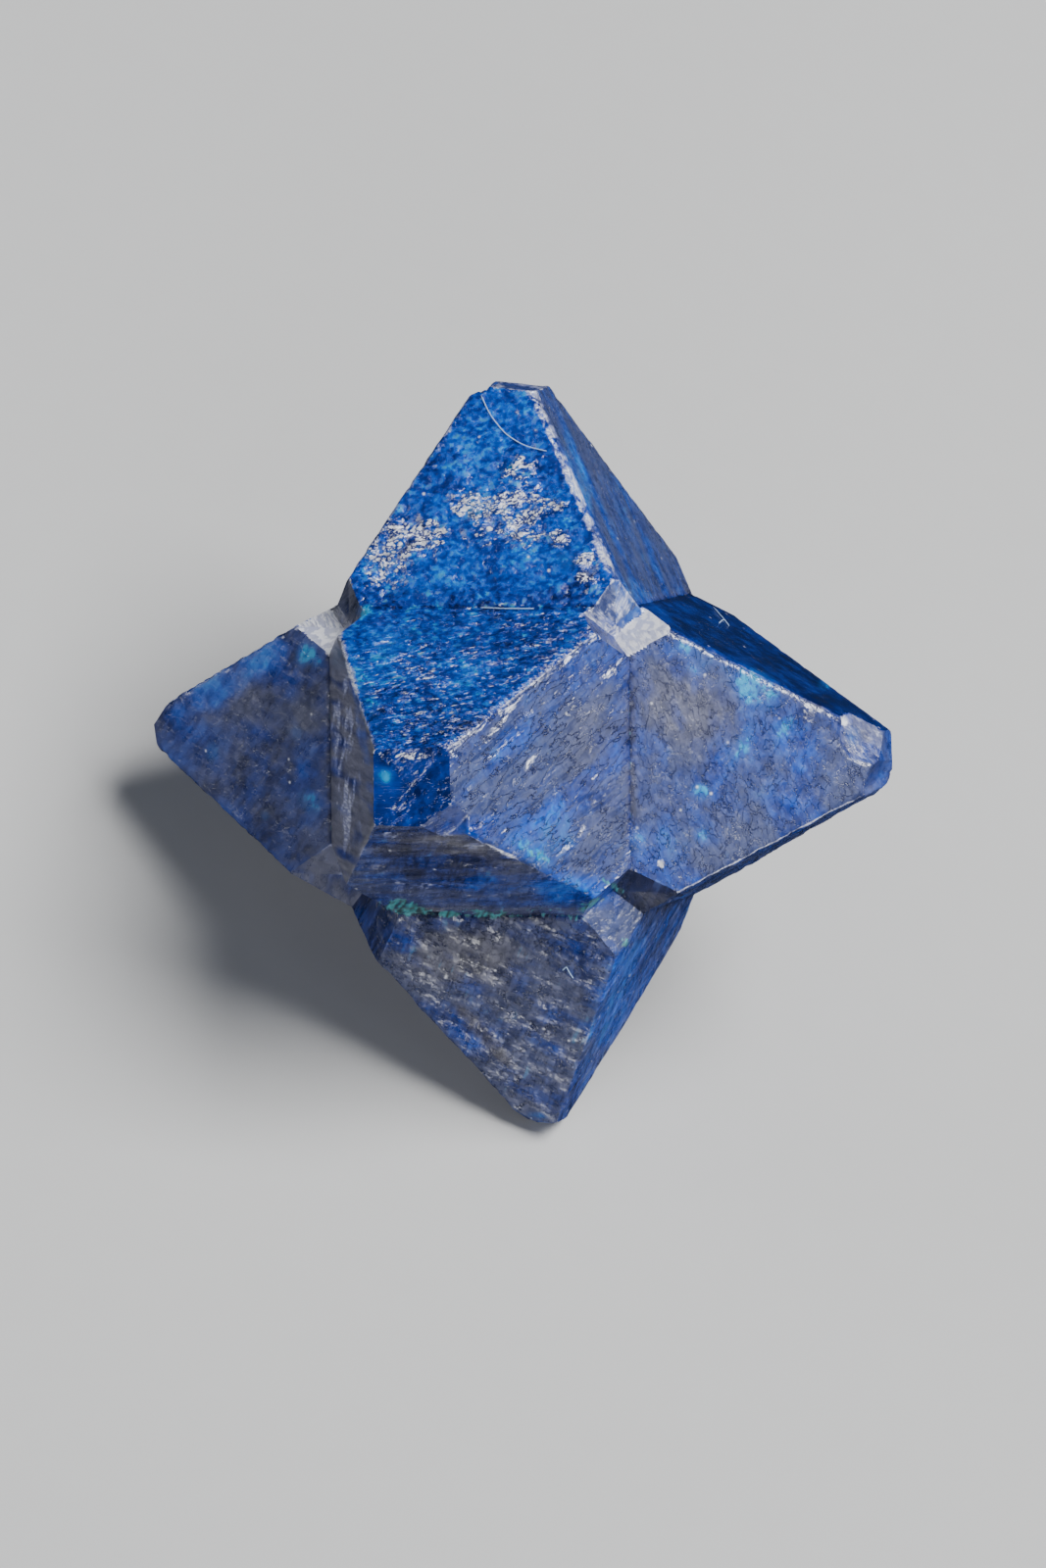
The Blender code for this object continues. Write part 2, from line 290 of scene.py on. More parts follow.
CHIPS: tuple[Chip, ...] = (
    Chip((8.92, -0.10, -0.42), (0.80, -0.10, -0.60)),
    Chip((8.62, -0.50, 0.42), (0.62, -0.62, 0.48)),
    Chip((0.26, -0.30, -9.04), (-0.42, -0.30, -0.86)),
    Chip((-9.04, -0.10, 0.94), (-0.80, -0.15, 0.58)),
    Chip((-0.66, -0.10, 8.80), (-0.62, -0.10, 0.78)),
    Chip((0.35, -8.45, -0.95), (0.45, -0.66, -0.60)),
    Chip((0.52, 8.92, 0.30), (0.55, 0.78, 0.30)),
)

# The star rests on the two ridges that meet at this corner of its cube.
REST_CORNER: Triple = (-1, 1, -1)

BROAD_RIDGES: tuple[Ridge, ...] = (
    ("up", "front", "right"),
    ("front", "right", "up"),
    ("right", "front", "up"),
)

# relief, slant, depth, sheen film (film with painted sheen), azure (partly painted glow), shade (painted),
# rough, plate, tilt, wrinkle, mottle
SIDES: dict[Side, Look] = {
    ("up", "front"): Look(Relief.MELTED, 12, 0.075, 0.02, 0.42, 0, 0.2, (0.3, 0.24), 0.04, 0.05, 1),
    ("up", "right"): Look(Relief.STRIPES, 62, 0.026, 0.7, 0.38, 0.05, 0.28, (1.1, 0.2), 0.1, 0.45, 0.6),
    ("up", "left"): Look(Relief.STRIPES, 52, 0.03, 0.25, 0.3, 0.3, 0.28, (1.1, 0.18), 0.22, 0.4, 0.6),
    ("up", "back"): Look(Relief.MELTED, 8, 0.06, 0.12, 0.45, 0.15, 0.24, (0.34, 0.26), 0.28, 0.2, 0.9),
    ("front", "up"): Look(Relief.DASHES, 20, 0.05, 0, 0.22, 0, 0.16, (0.3, 0.1), 0.12, 0.05, 1),
    ("front", "right"): Look(Relief.RIPPLES, -60, 0.07, 0.66, 0.28, 0.04, 0.22, (0.9, 0.36), 0.1, 1, 0.45),
    ("front", "down"): Look(Relief.LEDGES, 4, 0.065, 0.58, 0.18, 0.22, 0.22, (0.8, 0.2), 0.36, 0.4, 0.6),
    ("front", "left"): Look(Relief.STRIPES, 88, 0.022, 0.98, 0.3, 0.5, 0.3, (1, 0.15), 0.06, 0.05, 0.12),
    ("right", "front"): Look(Relief.CRAZED, 20, 0.014, 0.64, 0.18, 0.08, 0.26, (0.5, 0.36), 0.05, 0.7, 0.48),
    ("right", "up"): Look(Relief.QUIET, 70, 0.012, 0, 0.22, 0.58, 0.2, (0.6, 0.5), 0.03, 0, 0.35),
    ("right", "down"): Look(Relief.SCALES, 12, 0.05, 0.25, 0.2, 0.3, 0.28, (0.45, 0.24), 0.34, 0.5, 0.6),
    ("right", "back"): Look(Relief.CRAZED, 30, 0.04, 0.3, 0.35, 0.15, 0.26, (0.38, 0.26), 0.3, 0.7, 0.7),
    ("left", "front"): Look(Relief.QUIET, 75, 0.02, 0.34, 0.14, 0.28, 0.32, (0.55, 0.4), 0.06, 0.04, 0.35),
    ("left", "up"): Look(Relief.DASHES, 15, 0.04, 0.1, 0.45, 0.15, 0.24, (0.48, 0.16), 0.32, 0.2, 0.8),
    ("left", "down"): Look(Relief.SCALES, 20, 0.05, 0.25, 0.15, 0.4, 0.3, (0.45, 0.26), 0.34, 0.5, 0.6),
    ("left", "back"): Look(Relief.CRAZED, 10, 0.04, 0.25, 0.3, 0.25, 0.28, (0.36, 0.26), 0.3, 0.7, 0.7),
    ("down", "front"): Look(Relief.SCALES, -32, 0.048, 0.76, 0.2, 0.2, 0.28, (0.5, 0.34), 0.16, 0.9, 0.7),
    ("down", "right"): Look(Relief.STRIPES, 62, 0.045, 0.3, 0.35, 0.2, 0.28, (0.9, 0.18), 0.34, 0.4, 0.6),
    ("down", "left"): Look(Relief.LEDGES, 40, 0.055, 0.25, 0.2, 0.4, 0.28, (0.8, 0.2), 0.36, 0.4, 0.6),
    ("down", "back"): Look(Relief.SCALES, 25, 0.055, 0.3, 0.25, 0.35, 0.28, (0.45, 0.25), 0.36, 0.5, 0.6),
    ("back", "up"): Look(Relief.DASHES, 10, 0.045, 0.08, 0.5, 0.05, 0.24, (0.5, 0.16), 0.34, 0.1, 1),
    ("back", "right"): Look(Relief.RIPPLES, 60, 0.036, 0.4, 0.35, 0.1, 0.26, (0.6, 0.25), 0.28, 0.8, 0.7),
    ("back", "left"): Look(Relief.MELTED, 50, 0.055, 0.22, 0.35, 0.25, 0.26, (0.34, 0.26), 0.32, 0.4, 0.8),
    ("back", "down"): Look(Relief.LEDGES, 15, 0.055, 0.25, 0.15, 0.4, 0.28, (0.85, 0.2), 0.38, 0.4, 0.6),
}

MARKS: dict[Tone, tuple[Mark, ...]] = {
    # Painted glow from inside the crystal: small bright spots, most of them on the right and left pyramids.
    Tone.CYAN: (
        Mark(482, 511, 12, 9, 0, 0.55), Mark(577, 573, 10, 8, 0, 0.65),
        Mark(430, 598, 30, 7, 0, 0.3), Mark(394, 518, 5, 26, -32, 0.4),
        Mark(372, 700, 7, 40, 18, 0.5), Mark(404, 650, 22, 8, 20, 0.35), Mark(391, 792, 9, 8),
        Mark(541, 868, 22, 9, -38), Mark(216, 767, 6, 8, 0, 0.6), Mark(302, 748, 5, 6, 0, 0.5),
        Mark(316, 818, 9, 12, 40, 0.5), Mark(270, 832, 4, 4, 0, 0.8),
        Mark(318, 672, 10, 6, -30, 0.7), Mark(703, 664, 14, 7, -20, 0.8),
        Mark(712, 680, 9, 7, 0, 0.7), Mark(771, 704, 24, 15, -30), Mark(800, 742, 10, 8, 0, 0.7),
        Mark(870, 752, 7, 9, 0, 0.7), Mark(758, 757, 7, 18, -30, 0.8), Mark(714, 808, 9, 8),
        Mark(716, 852, 6, 7, 0, 0.8), Mark(651, 860, 7, 12, 0, 0.8), Mark(841, 698, 6, 5, 0, 0.8),
        Mark(547, 1138, 9, 3), Mark(311, 667, 8, 11, -20), Mark(372, 624, 8, 6, 0, 0.9),
    ),
    # Crumbs in the groove between the front and down pyramids, and one patch above it.
    Tone.CRUST: (
        Mark(548, 874, 14, 6, -38, 0.5), Mark(411, 925, 22, 6, -5, 0.75),
        Mark(604, 922, 13, 5, 20, 0.6), Mark(628, 906, 16, 4, -38, 0.55),
        Mark(637, 962, 6, 5, 0, 0.6), Mark(500, 931, 90, 4, 0, 0.35),
    ),
    # Worn slivers with painted highlights, and two single chips of white, the one on the right tip a painted
    # highlight.
    Tone.WHITE: (
        Mark(450, 456, 4, 30, -22, 0.4), Mark(352, 770, 16, 112, 2, 0.42),
        Mark(404, 850, 30, 7, -14, 0.4), Mark(500, 868, 40, 4, -14, 0.4),
        Mark(420, 905, 40, 6, -6, 0.36), Mark(861, 735, 4, 5, 0, 0.9), Mark(674, 881, 4, 4),
    ),
    # Clusters of small plates with higher, steeper relief and painted white glints, thickest on the up
    # pyramid's front.
    Tone.GLINT: (
        Mark(530, 477, 18, 13), Mark(520, 516, 42, 20), Mark(540, 545, 14, 12, 0, 0.8),
        Mark(474, 514, 17, 15, 0, 0.9), Mark(505, 545, 30, 12, 0, 0.6), Mark(569, 549, 11, 10),
        Mark(570, 515, 7, 6), Mark(400, 560, 26, 40, -20), Mark(600, 580, 12, 20),
        Mark(440, 545, 18, 14), Mark(500, 690, 120, 60, 14, 0.26), Mark(400, 690, 40, 34, 8, 0.18),
        Mark(440, 738, 60, 16, 8, 0.2), Mark(560, 660, 44, 14, 30, 0.16),
        Mark(425, 771, 44, 3, 0, 0.9), Mark(452, 812, 12, 12, 0, 0.5),
        Mark(825, 730, 12, 10, 0, 0.5), Mark(505, 1075, 46, 40, -30, 0.26),
        Mark(440, 1010, 30, 26, -30, 0.22),
    ),
    # Painted glow: places where the body is a brighter blue.
    Tone.AZURE: (
        Mark(480, 516, 13, 11, 0, 0.5), Mark(590, 488, 9, 36, 18, 0.6),
        Mark(392, 668, 30, 22, 20, 0.5), Mark(470, 690, 30, 20, 20, 0.25),
        Mark(560, 850, 36, 24, 20, 0.4), Mark(500, 760, 20, 14, 30, 0.3),
        Mark(520, 800, 44, 40, 0, 0.16), Mark(368, 740, 5, 80, 8, 0.6),
        Mark(580, 910, 40, 16, -10, 0.4), Mark(500, 905, 30, 10, -5, 0.3),
        Mark(236, 690, 56, 16, 34, 0.75), Mark(212, 712, 16, 14, 0, 0.5),
        Mark(281, 668, 12, 15, 0, 0.9), Mark(185, 760, 26, 30, -30, 0.3),
        Mark(312, 775, 12, 22, 0, 0.35), Mark(235, 830, 30, 12, -40, 0.3),
        Mark(738, 692, 56, 18, -34, 0.5), Mark(760, 760, 30, 30, -30, 0.3),
        Mark(690, 855, 44, 24, 20, 0.4), Mark(800, 800, 50, 26, 30, 0.25),
        Mark(650, 620, 30, 20, -30, 0.4), Mark(470, 1050, 40, 24, -40, 0.25),
        Mark(622, 1015, 20, 54, -24, 0.5), Mark(548, 1075, 24, 16, 20, 0.35),
    ),
    # Thicker film with its painted sheen, or thinner where the strength is below 0.
    Tone.SHEEN_FILM: (
        Mark(516, 812, 28, 44, 20, 0.25), Mark(480, 860, 34, 6, -8, 0.5),
        Mark(450, 882, 64, 13, -8, -0.42), Mark(585, 908, 44, 16, -10, -0.36),
        Mark(276, 735, 38, 56, -20, 0.25), Mark(690, 730, 34, 44, -20, 0.25),
        Mark(620, 900, 14, 40, 0, -0.2), Mark(600, 1020, 12, 20, 0, 0.4),
        Mark(570, 1065, 28, 14, 0, 0.4), Mark(428, 990, 24, 24, 0, 0.3),
    ),
    # Painted shade in hollows, and dark streaks.
    Tone.SHADE: (
        Mark(424, 553, 8, 9, 0, 0.4), Mark(596, 592, 8, 10, 0, 0.4), Mark(500, 607, 110, 7, 0, 0.3),
        Mark(440, 480, 30, 22, 0, 0.25), Mark(450, 748, 44, 16, 0, 0.22),
        Mark(560, 640, 40, 10, 0, 0.15), Mark(606, 770, 30, 64, 0, 0.14),
        Mark(450, 875, 60, 20, -10, 0.4), Mark(700, 722, 50, 36, -20, 0.22),
        Mark(838, 716, 12, 8, -20, 0.4), Mark(492, 1055, 6, 34, 42, 0.6),
        Mark(470, 975, 52, 28, 0, 0.26), Mark(432, 930, 18, 4, 0, 0.7),
    ),
}


@dataclass(frozen=True)
class FacetLook:
    """Tones of a small flat facet, 0 to 1: white wear and painted highlight, sheen film, azure, painted
    shade, painted cyan glow.
    """

    white: float
    sheen_film: float
    azure: float
    shade: float
    cyan: float = 0.0
    rough: float = 0.30

    def shares(self) -> tuple[float, ...]:
        """The facet's own shares, in the order of the tones."""
        return (self.sheen_film, self.azure, self.shade, self.rough, self.cyan, 0.0, self.white, 0.0)


# Corner facets, by the pyramid that each cuts and by where its corner lies. Their white is partly a painted
# highlight, and their shade is painted.
KITES: dict[tuple[str, str], FacetLook] = {
    ("right", "right front up"): FacetLook(0.86, 0.6, 0.5, 0.0),
    ("up", "right front up"): FacetLook(0.46, 0.9, 0.6, 0.0),
    ("front", "right front up"): FacetLook(0.0, 0.15, 0.3, 0.35),
    ("left", "left front up"): FacetLook(0.80, 0.9, 0.1, 0.10, 0.1),
    ("up", "left front up"): FacetLook(0.10, 0.5, 0.0, 0.55, 0.1),
    ("left", "left front down"): FacetLook(0.15, 0.8, 0.0, 0.35),
    ("down", "left front down"): FacetLook(0.0, 0.1, 0.1, 0.55),
    ("right", "right front down"): FacetLook(0.05, 0.2, 0.0, 0.75),
    ("down", "right front down"): FacetLook(0.22, 0.8, 0.1, 0.1, 0.1),
}
PLAIN_KITE = FacetLook(0.15, 0.5, 0.2, 0.3)

TIPS: dict[str, FacetLook] = {
    "up": FacetLook(0.45, 0.6, 0.2, 0.0),
    "down": FacetLook(0.2, 0.5, 0.1, 0.2, 0.3),
    "left": FacetLook(0.3, 0.6, 0.2, 0.1),
    "right": FacetLook(0.06, 0.4, 0.3, 0.15),
    "front": FacetLook(0.0, 0.0, 0.30, 0.36, 0.0, 0.12),
    "back": FacetLook(0.2, 0.5, 0.2, 0.2),
}
CHIP_LOOK = FacetLook(0.02, 0.30, 0.34, 0.25, 0.0, 0.34)

# How thickly crust fills the groove at the foot of a side.
GROOVE_CRUST: dict[Side, float] = {
    ("front", "down"): 0.42,
    ("down", "front"): 0.38,
    ("left", "front"): 0.30,
    ("front", "left"): 0.30,
    ("front", "right"): 0.28,
    ("right", "front"): 0.28,
    ("up", "front"): 0.10,
    ("front", "up"): 0.10,
}
PLAIN_CRUST = 0.15

# How white each ridge is, with wear and a painted highlight along it, and how wide that shows on either
# side, in mm.
RIDGE_WEAR_AND_HIGHLIGHT: dict[Ridge, Pair] = {
    ("up", "front", "right"): (0.58, 0.30),
    ("up", "front", "left"): (0.35, 0.10),
    ("front", "right", "up"): (0.62, 0.07),
    ("front", "left", "up"): (0.40, 0.12),
    ("front", "down", "right"): (0.40, 0.08),
    ("right", "front", "up"): (0.34, 0.08),
    ("right", "down", "front"): (0.80, 0.07),
    ("left", "front", "up"): (0.50, 0.06),
    ("down", "front", "right"): (0.35, 0.09),
}
PLAIN_RIDGE: Pair = (0.25, 0.07)


@dataclass(frozen=True)
class PhotoView:
    """The photograph's camera in the star's axes and mm, with the picture's scale in pixels."""

    right: Triple = (0.9664, 0.2569, -0.0093)
    up: Triple = (-0.0104, 0.0751, 0.9971)
    towards: Triple = (0.2569, -0.9635, 0.0752)
    aside: float = 0.084
    below: float = 0.818
    distance: float = 192.0
    focal: float = 8000.0
    middle: Pair = (533.5, 800.0)
    height: float = 1600.0

    def axes(self) -> np.ndarray:
        """Rows: right, up and towards the camera."""
        return np.array([self.right, self.up, self.towards])

    def place(self) -> np.ndarray:
        """Where the camera stands, in the star's axes: out along its line of sight."""
        right, up, towards = self.axes()
        return right * self.aside - up * self.below + towards * self.distance

    def pixels(self, points: np.ndarray) -> np.ndarray:
        """Where points show in the photograph: distances across and up, shrunk by the depth.

        Args:
            points: places in the star's axes, in mm.

        Returns:
            Pixel columns and rows, one pair a point.
        """
        across, up, near = np.moveaxis((points - self.place()) @ self.axes().T, -1, 0)
        column = self.middle[0] + self.focal * across / -near
        row = self.middle[1] - self.focal * up / -near
        return np.stack([column, row], axis=-1)


class Hills:
    """Smooth seeded noise over space: random slopes at whole-number corners, blended between."""

    COUNT = 256
    HEIGHT = 1.6
    # The ease curve's weights of the fifth, fourth and third powers.
    FIFTH, FOURTH, THIRD = 6, -15, 10

    def __init__(self, seed: int) -> None:
        """Draw the slopes and their order.

        Args:
            seed: the number that fixes them.
        """
        rng = np.random.default_rng(seed)
        self.order = rng.permutation(self.COUNT)
        self.slopes = unit(rng.normal(size=(self.COUNT, 3)), rows=True)

    def pick(self, cell: np.ndarray) -> np.ndarray:
        """A repeatable random number below the count for each whole-number cell."""
        last = self.COUNT - 1
        x, y, z = np.moveaxis(cell & last, -1, 0)
        return self.order[(self.order[(self.order[x] + y) & last] + z) & last]

    def at(self, points: np.ndarray) -> np.ndarray:
        """Height at each point, about -1 to 1: each corner's slope times the way to the point.

        The shares of the corners follow the ease curve.

        Args:
            points: places, with the last axis of three.

        Returns:
            One height a point.
        """
        cell = np.floor(points).astype(int)
        part = points - cell
        ease = part**3 * (part * (part * self.FIFTH + self.FOURTH) + self.THIRD)
        total = np.zeros(points.shape[:-1])
        for corner in itertools.product((0, 1), repeat=3):
            step = np.array(corner)
            slope = self.slopes[self.pick(cell + step)]
            share = np.prod(np.where(step == 1, ease, 1 - ease), axis=-1)
            total += share * ((part - step) * slope).sum(axis=-1)
        return total * self.HEIGHT


def unit(ways: np.ndarray, rows: bool = False) -> np.ndarray:
    """A direction, or rows of them, each divided by its length."""
    return ways / (np.linalg.norm(ways, axis=1, keepdims=True) if rows else np.linalg.norm(ways))


def turned(u: np.ndarray, v: np.ndarray, degrees: float) -> tuple[np.ndarray, np.ndarray]:
    """Places along and across a direction that leans from the first axis by an angle."""
    cos, sin = math.cos(math.radians(degrees)), math.sin(math.radians(degrees))
    return u * cos + v * sin, v * cos - u * sin


def eased(value: np.ndarray, low: float, high: float) -> np.ndarray:
    """A smooth step: 0 below low, 1 above high, and an S curve between."""
    part = np.clip((value - low) / (high - low), 0.0, 1.0)
    return part * part * (3 - 2 * part)


def stairs(value: np.ndarray, riser: float) -> np.ndarray:
    """Level treads with short steep risers: the whole number below plus an eased last part."""
    whole = np.floor(value)
    return whole + eased(value - whole, 1 - riser, 1.0)


@dataclass
class Carver:
    """Works out the relief of a pyramid side, as heights between about -1 and 1.

    The waver bends layers across the grain, by its height and over its length in mm.
    """

    seed: int
    waver_height: float = 0.22
    waver_length: float = 1.3
    waver_own: float = 0.5

    def __post_init__(self) -> None:
        """Draw the hills."""
        self.hills = Hills(self.seed)

    def noise(self, u: np.ndarray, v: np.ndarray, long: float, wide: float, own: float) -> np.ndarray:
        """Hills that are long along the grain and wide across it, in mm."""
        return self.hills.at(np.stack([u / long, v / wide, np.full_like(u, own)], axis=-1))

    def height(self, relief: Relief, u: np.ndarray, v: np.ndarray, own: float) -> np.ndarray:
        """The relief's height: the weighted sum of the layers of its kind.

        Args:
            relief: the kind of growth marks.
            u: mm along the grain.
            v: mm across the grain.
            own: a number of its own for each side, so that no two sides match.

        Returns:
            One height a point.
        """
        over = self.waver_length
        bend = v + self.waver_height * self.noise(u, v, over, over, own + self.waver_own)
        total = np.zeros_like(u)
        for layer in RELIEFS[relief]:
            across = bend if layer.bent else v
            total += layer.shaped(self.noise(u, across, layer.long, layer.wide, own + layer.own))
        return total


@dataclass
class Lattice:
    """A triangle cut into rows of small triangles: shares of its three corners, and the faces."""

    rows: int

    def __post_init__(self) -> None:
        """Number the points that lie inside, and list the triangles that point up and down."""
        second, third = np.meshgrid(np.arange(self.rows + 1), np.arange(self.rows + 1), indexing="ij")
        inside = second + third <= self.rows
        self.second = second[inside]
        self.third = third[inside]
        number = np.full(inside.shape, -1)
        number[inside] = np.arange(inside.sum())
        a, b = number[:-1, :-1], number[1:, :-1]
        c, d = number[:-1, 1:], number[1:, 1:]
        outer = (second + third)[:-1, :-1] < self.rows
        inner = (second + third)[:-1, :-1] < self.rows - 1
        up = np.stack([a[outer], b[outer], c[outer]], axis=-1)
        down = np.stack([b[inner], d[inner], c[inner]], axis=-1)
        self.faces = np.concatenate([up, down])

    def spread(self, first: np.ndarray, second: np.ndarray, third: np.ndarray) -> np.ndarray:
        """Points over the triangle: its first corner plus shares of the ways to the others."""
        b = self.second[:, None] / self.rows
        c = self.third[:, None] / self.rows
        return first + (second - first) * b + (third - first) * c


@dataclass
class Facets:
    """Every plane that the star's surface lies in: outward normals and distances in mm.

    A ray meets a plane that it turns to by more than the least.
    """

    least_facing: float = 1e-9
    normals: list[np.ndarray] = field(default_factory=list)
    offsets: list[float] = field(default_factory=list)
    looks: list[FacetLook | None] = field(default_factory=list)
    crisp: list[bool] = field(default_factory=list)

    def add(self, outward: np.ndarray, point: np.ndarray, look: FacetLook | None = None) -> int:
        """Add a plane through a point. One with a look of its own is a crisp small facet.

        Args:
            outward: the way it faces, of any length.
            point: a place on it, in mm.
            look: its own look, or none for a plane that takes its side's.

        Returns:
            The plane's number.
        """
        normal = unit(outward)
        self.normals.append(normal)
        self.offsets.append(float(normal @ point))
        self.looks.append(look)
        self.crisp.append(look is not None)
        return len(self.normals) - 1

    def reach(self, number: int, points: np.ndarray) -> np.ndarray:
        """How far out along each point's ray the plane lies, as a share of the point's distance."""
        facing = points @ self.normals[number]
        with np.errstate(divide="ignore", invalid="ignore"):
            return np.where(facing > self.least_facing, self.offsets[number] / facing, np.inf)


@dataclass
class Star:
    """The intergrown crystals, in mm: the planes they are cut by, and the surface over them."""

    cube_half: float = 3.73
    rest_wear: float = 0.18
    ridge_wear: float = 0.035
    broad_ridge_wear: float = 0.075
    chip_reach: float = 0.60
    chip_rise: float = 0.9
    rows: int = 88
    # Points join that agree when a mm is cut in this many parts. A point this near a crisp edge
    # moves onto it, where the sine of the angle between its planes, squared, is above the least.
    join_parts: float = 1e4
    snap_within: float = 0.09
    snap_least: float = 0.01
    view: PhotoView = field(default_factory=PhotoView)

    def __post_init__(self) -> None:
        """Set the planes and lay the surface."""
        self.lattice = Lattice(self.rows)
        self.facets = Facets()
        self.side_names = list(SIDES)
        self.worn: dict[Ridge, int] = {}
        self.set_planes()
        self.lay()
        self.crisp_edges = self.snap()
        self.settle()

    def apex(self, name: str) -> np.ndarray:
        """The ideal point of a pyramid, where its four ridges would meet."""
        spike = SPIKES[name]
        return AXES[name] * spike.ideal + np.array(spike.lean)

    def side_frame(self, spike: str, towards: str) -> tuple[np.ndarray, np.ndarray, np.ndarray]:
        """A side's frame: the slope's normal is square to its foot and to one of its ridges.

        Args:
            spike: the pyramid.
            towards: the axis that the side looks to.

        Returns:
            The way along its foot, up its slope and outward.
        """
        along = np.cross(AXES[spike], AXES[towards])
        left, right = self.corners(spike, towards)
        normal = unit(np.cross(right - left, self.apex(spike) - left))
        return along, np.cross(normal, along), normal

    def corners(self, spike: str, towards: str) -> tuple[np.ndarray, np.ndarray]:
        """The two ends of a side's foot, left and right as seen from outside with its tip up."""
        foot = (AXES[spike] + AXES[towards]) * self.cube_half
        half = np.cross(AXES[spike], AXES[towards]) * self.cube_half
        return foot - half, foot + half

    def set_planes(self) -> None:
        """List the planes of all sides, tips, corner notches, chips, and the one it rests on."""
        for name in self.side_names:
            self.facets.add(self.side_frame(*name)[2], self.apex(name[0]))
        self.tips = {}
        for name, spike in SPIKES.items():
            axis = AXES[name]
            self.tips[name] = self.facets.add(axis + np.array(spike.tip_lean), axis * spike.tip, TIPS[name])
        self.notches = {}
        for inmost in NOTCHES:
            signs = np.sign(inmost)
            self.notches[tuple(signs)] = [
                self.facets.add(signs * (1 - np.abs(AXES[name])), np.array(inmost), look)
                for name, look in self.kite_looks(signs).items()
            ]
        self.chips = [self.facets.add(np.array(c.outward), np.array(c.point), CHIP_LOOK) for c in CHIPS]
        corner = np.array(REST_CORNER) * self.cube_half
        level = unit(np.cross(self.apex("down") - corner, self.apex("back") - corner))
        self.level = -level if level @ corner > 0 else level
        self.floor = self.facets.add(-self.level, corner + self.level * self.rest_wear, CHIP_LOOK)

    def kite_looks(self, signs: np.ndarray) -> dict[str, FacetLook]:
        """The looks of the three facets of one corner notch.

        Args:
            signs: on which side of the middle the corner lies, one sign an axis.

        Returns:
            A look for each of its three pyramids, by name.
        """
        ends = (("left", "right"), ("front", "back"), ("down", "up"))
        names = [pair[int(sign > 0)] for pair, sign in zip(ends, signs)]
        return {name: KITES.get((name, " ".join(names)), PLAIN_KITE) for name in names}

    def turn(self) -> np.ndarray:
        """Rows are the world's axes in the star's: the front pyramid keeps to the world's -Y."""
        front = AXES["front"]
        back = unit(-(front - self.level * (front @ self.level)))
        return np.array([np.cross(back, self.level), back, self.level])

    def ridge_planes(self, spike: str, towards: str) -> list[int]:
        """The planes that wear the two ridges beside a side, each added once.

        A ridge's plane looks along the sum of its two sides' normals.

        Args:
            spike: the pyramid.
            towards: the axis that the side looks to.

        Returns:
            The two planes' numbers.
        """
        made = []
        for pyramid, beside in SIDES:
            if pyramid != spike or abs(np.dot(AXES[towards], AXES[beside])) > 0:
                continue
            pair = sorted((towards, beside))
            key = (spike, *pair)
            if key not in self.worn:
                first, second = (self.side_frame(spike, name)[2] for name in pair)
                outward = unit(first + second)
                depth = self.broad_ridge_wear if key in BROAD_RIDGES else self.ridge_wear
                self.worn[key] = self.facets.add(outward, self.apex(spike) - outward * depth)
            made.append(self.worn[key])
        return made

    def cut(self, side: int, ideal: np.ndarray) -> tuple[np.ndarray, np.ndarray]:
        """Bring points of an ideal side in to the surface that is left of it.

        Each point keeps its ray from the star's middle. It stops at the nearest plane of its side,
        its tip, its worn ridges and the chips, or where all three planes of a notch are passed.

        Args:
            side: the side's number.
            ideal: points on the ideal side, in mm.

        Returns:
            The points on the surface, and the number of the plane that each lies in.
        """
        spike, towards = self.side_names[side]
        share = np.ones(len(ideal))
        number = np.full(len(ideal), side)

        def nearer(reach: np.ndarray, numbers: np.ndarray | int) -> None:
            """Keep the planes that lie nearer than what was found before."""
            closer = reach < share
            share[closer] = reach[closer]
            number[closer] = np.broadcast_to(numbers, reach.shape)[closer]

        for plane in [self.tips[spike], self.floor, *self.ridge_planes(spike, towards)]:
            nearer(self.facets.reach(plane, ideal), plane)
        for corner in self.corners(spike, towards):
            planes = self.notches[tuple(np.sign(corner))]
            reaches = np.stack([self.facets.reach(plane, ideal) for plane in planes])
            nearer(reaches.max(axis=0), np.array(planes)[reaches.argmax(axis=0)])
        for plane, chip in zip(self.chips, CHIPS):
            reach = self.facets.reach(plane, ideal)
            aside = np.linalg.norm(ideal * np.minimum(reach, 1.0)[:, None] - np.array(chip.point), axis=1)
            rise = self.chip_rise * np.maximum(aside - self.chip_reach, 0.0)
            nearer(reach * (1 + rise / self.facets.offsets[plane]), plane)
        return ideal * share[:, None], number

    def lay(self) -> None:
        """Lay the lattice on all sides, bring it in to the planes and join the points they share."""
        feet = [self.corners(*name) for name in self.side_names]
        tips = [self.apex(spike) for spike, _ in self.side_names]
        ideal = np.stack([self.lattice.spread(tip, *foot) for tip, foot in zip(tips, feet)])
        places, number = (np.stack(c) for c in zip(*(self.cut(*points) for points in enumerate(ideal))))
        keys = np.round(ideal.reshape(-1, 3) * self.join_parts).astype(np.int64)
        _, first, joined = np.unique(keys, axis=0, return_index=True, return_inverse=True)
        self.count = len(first)
        self.joined = joined.reshape(ideal.shape[:2])
        self.places = self.shared(places.reshape(-1, 3))
        self.number = number.reshape(-1)[first]
        self.corner_of = np.stack([self.joined[:, f] for f in self.lattice.faces.T], axis=-1)
        middles = ideal[:, self.lattice.faces].mean(axis=2)
        self.face_number = np.stack([self.cut(*points)[1] for points in enumerate(middles)])
        self.normal_at = np.array(self.facets.normals)[number.reshape(-1)]

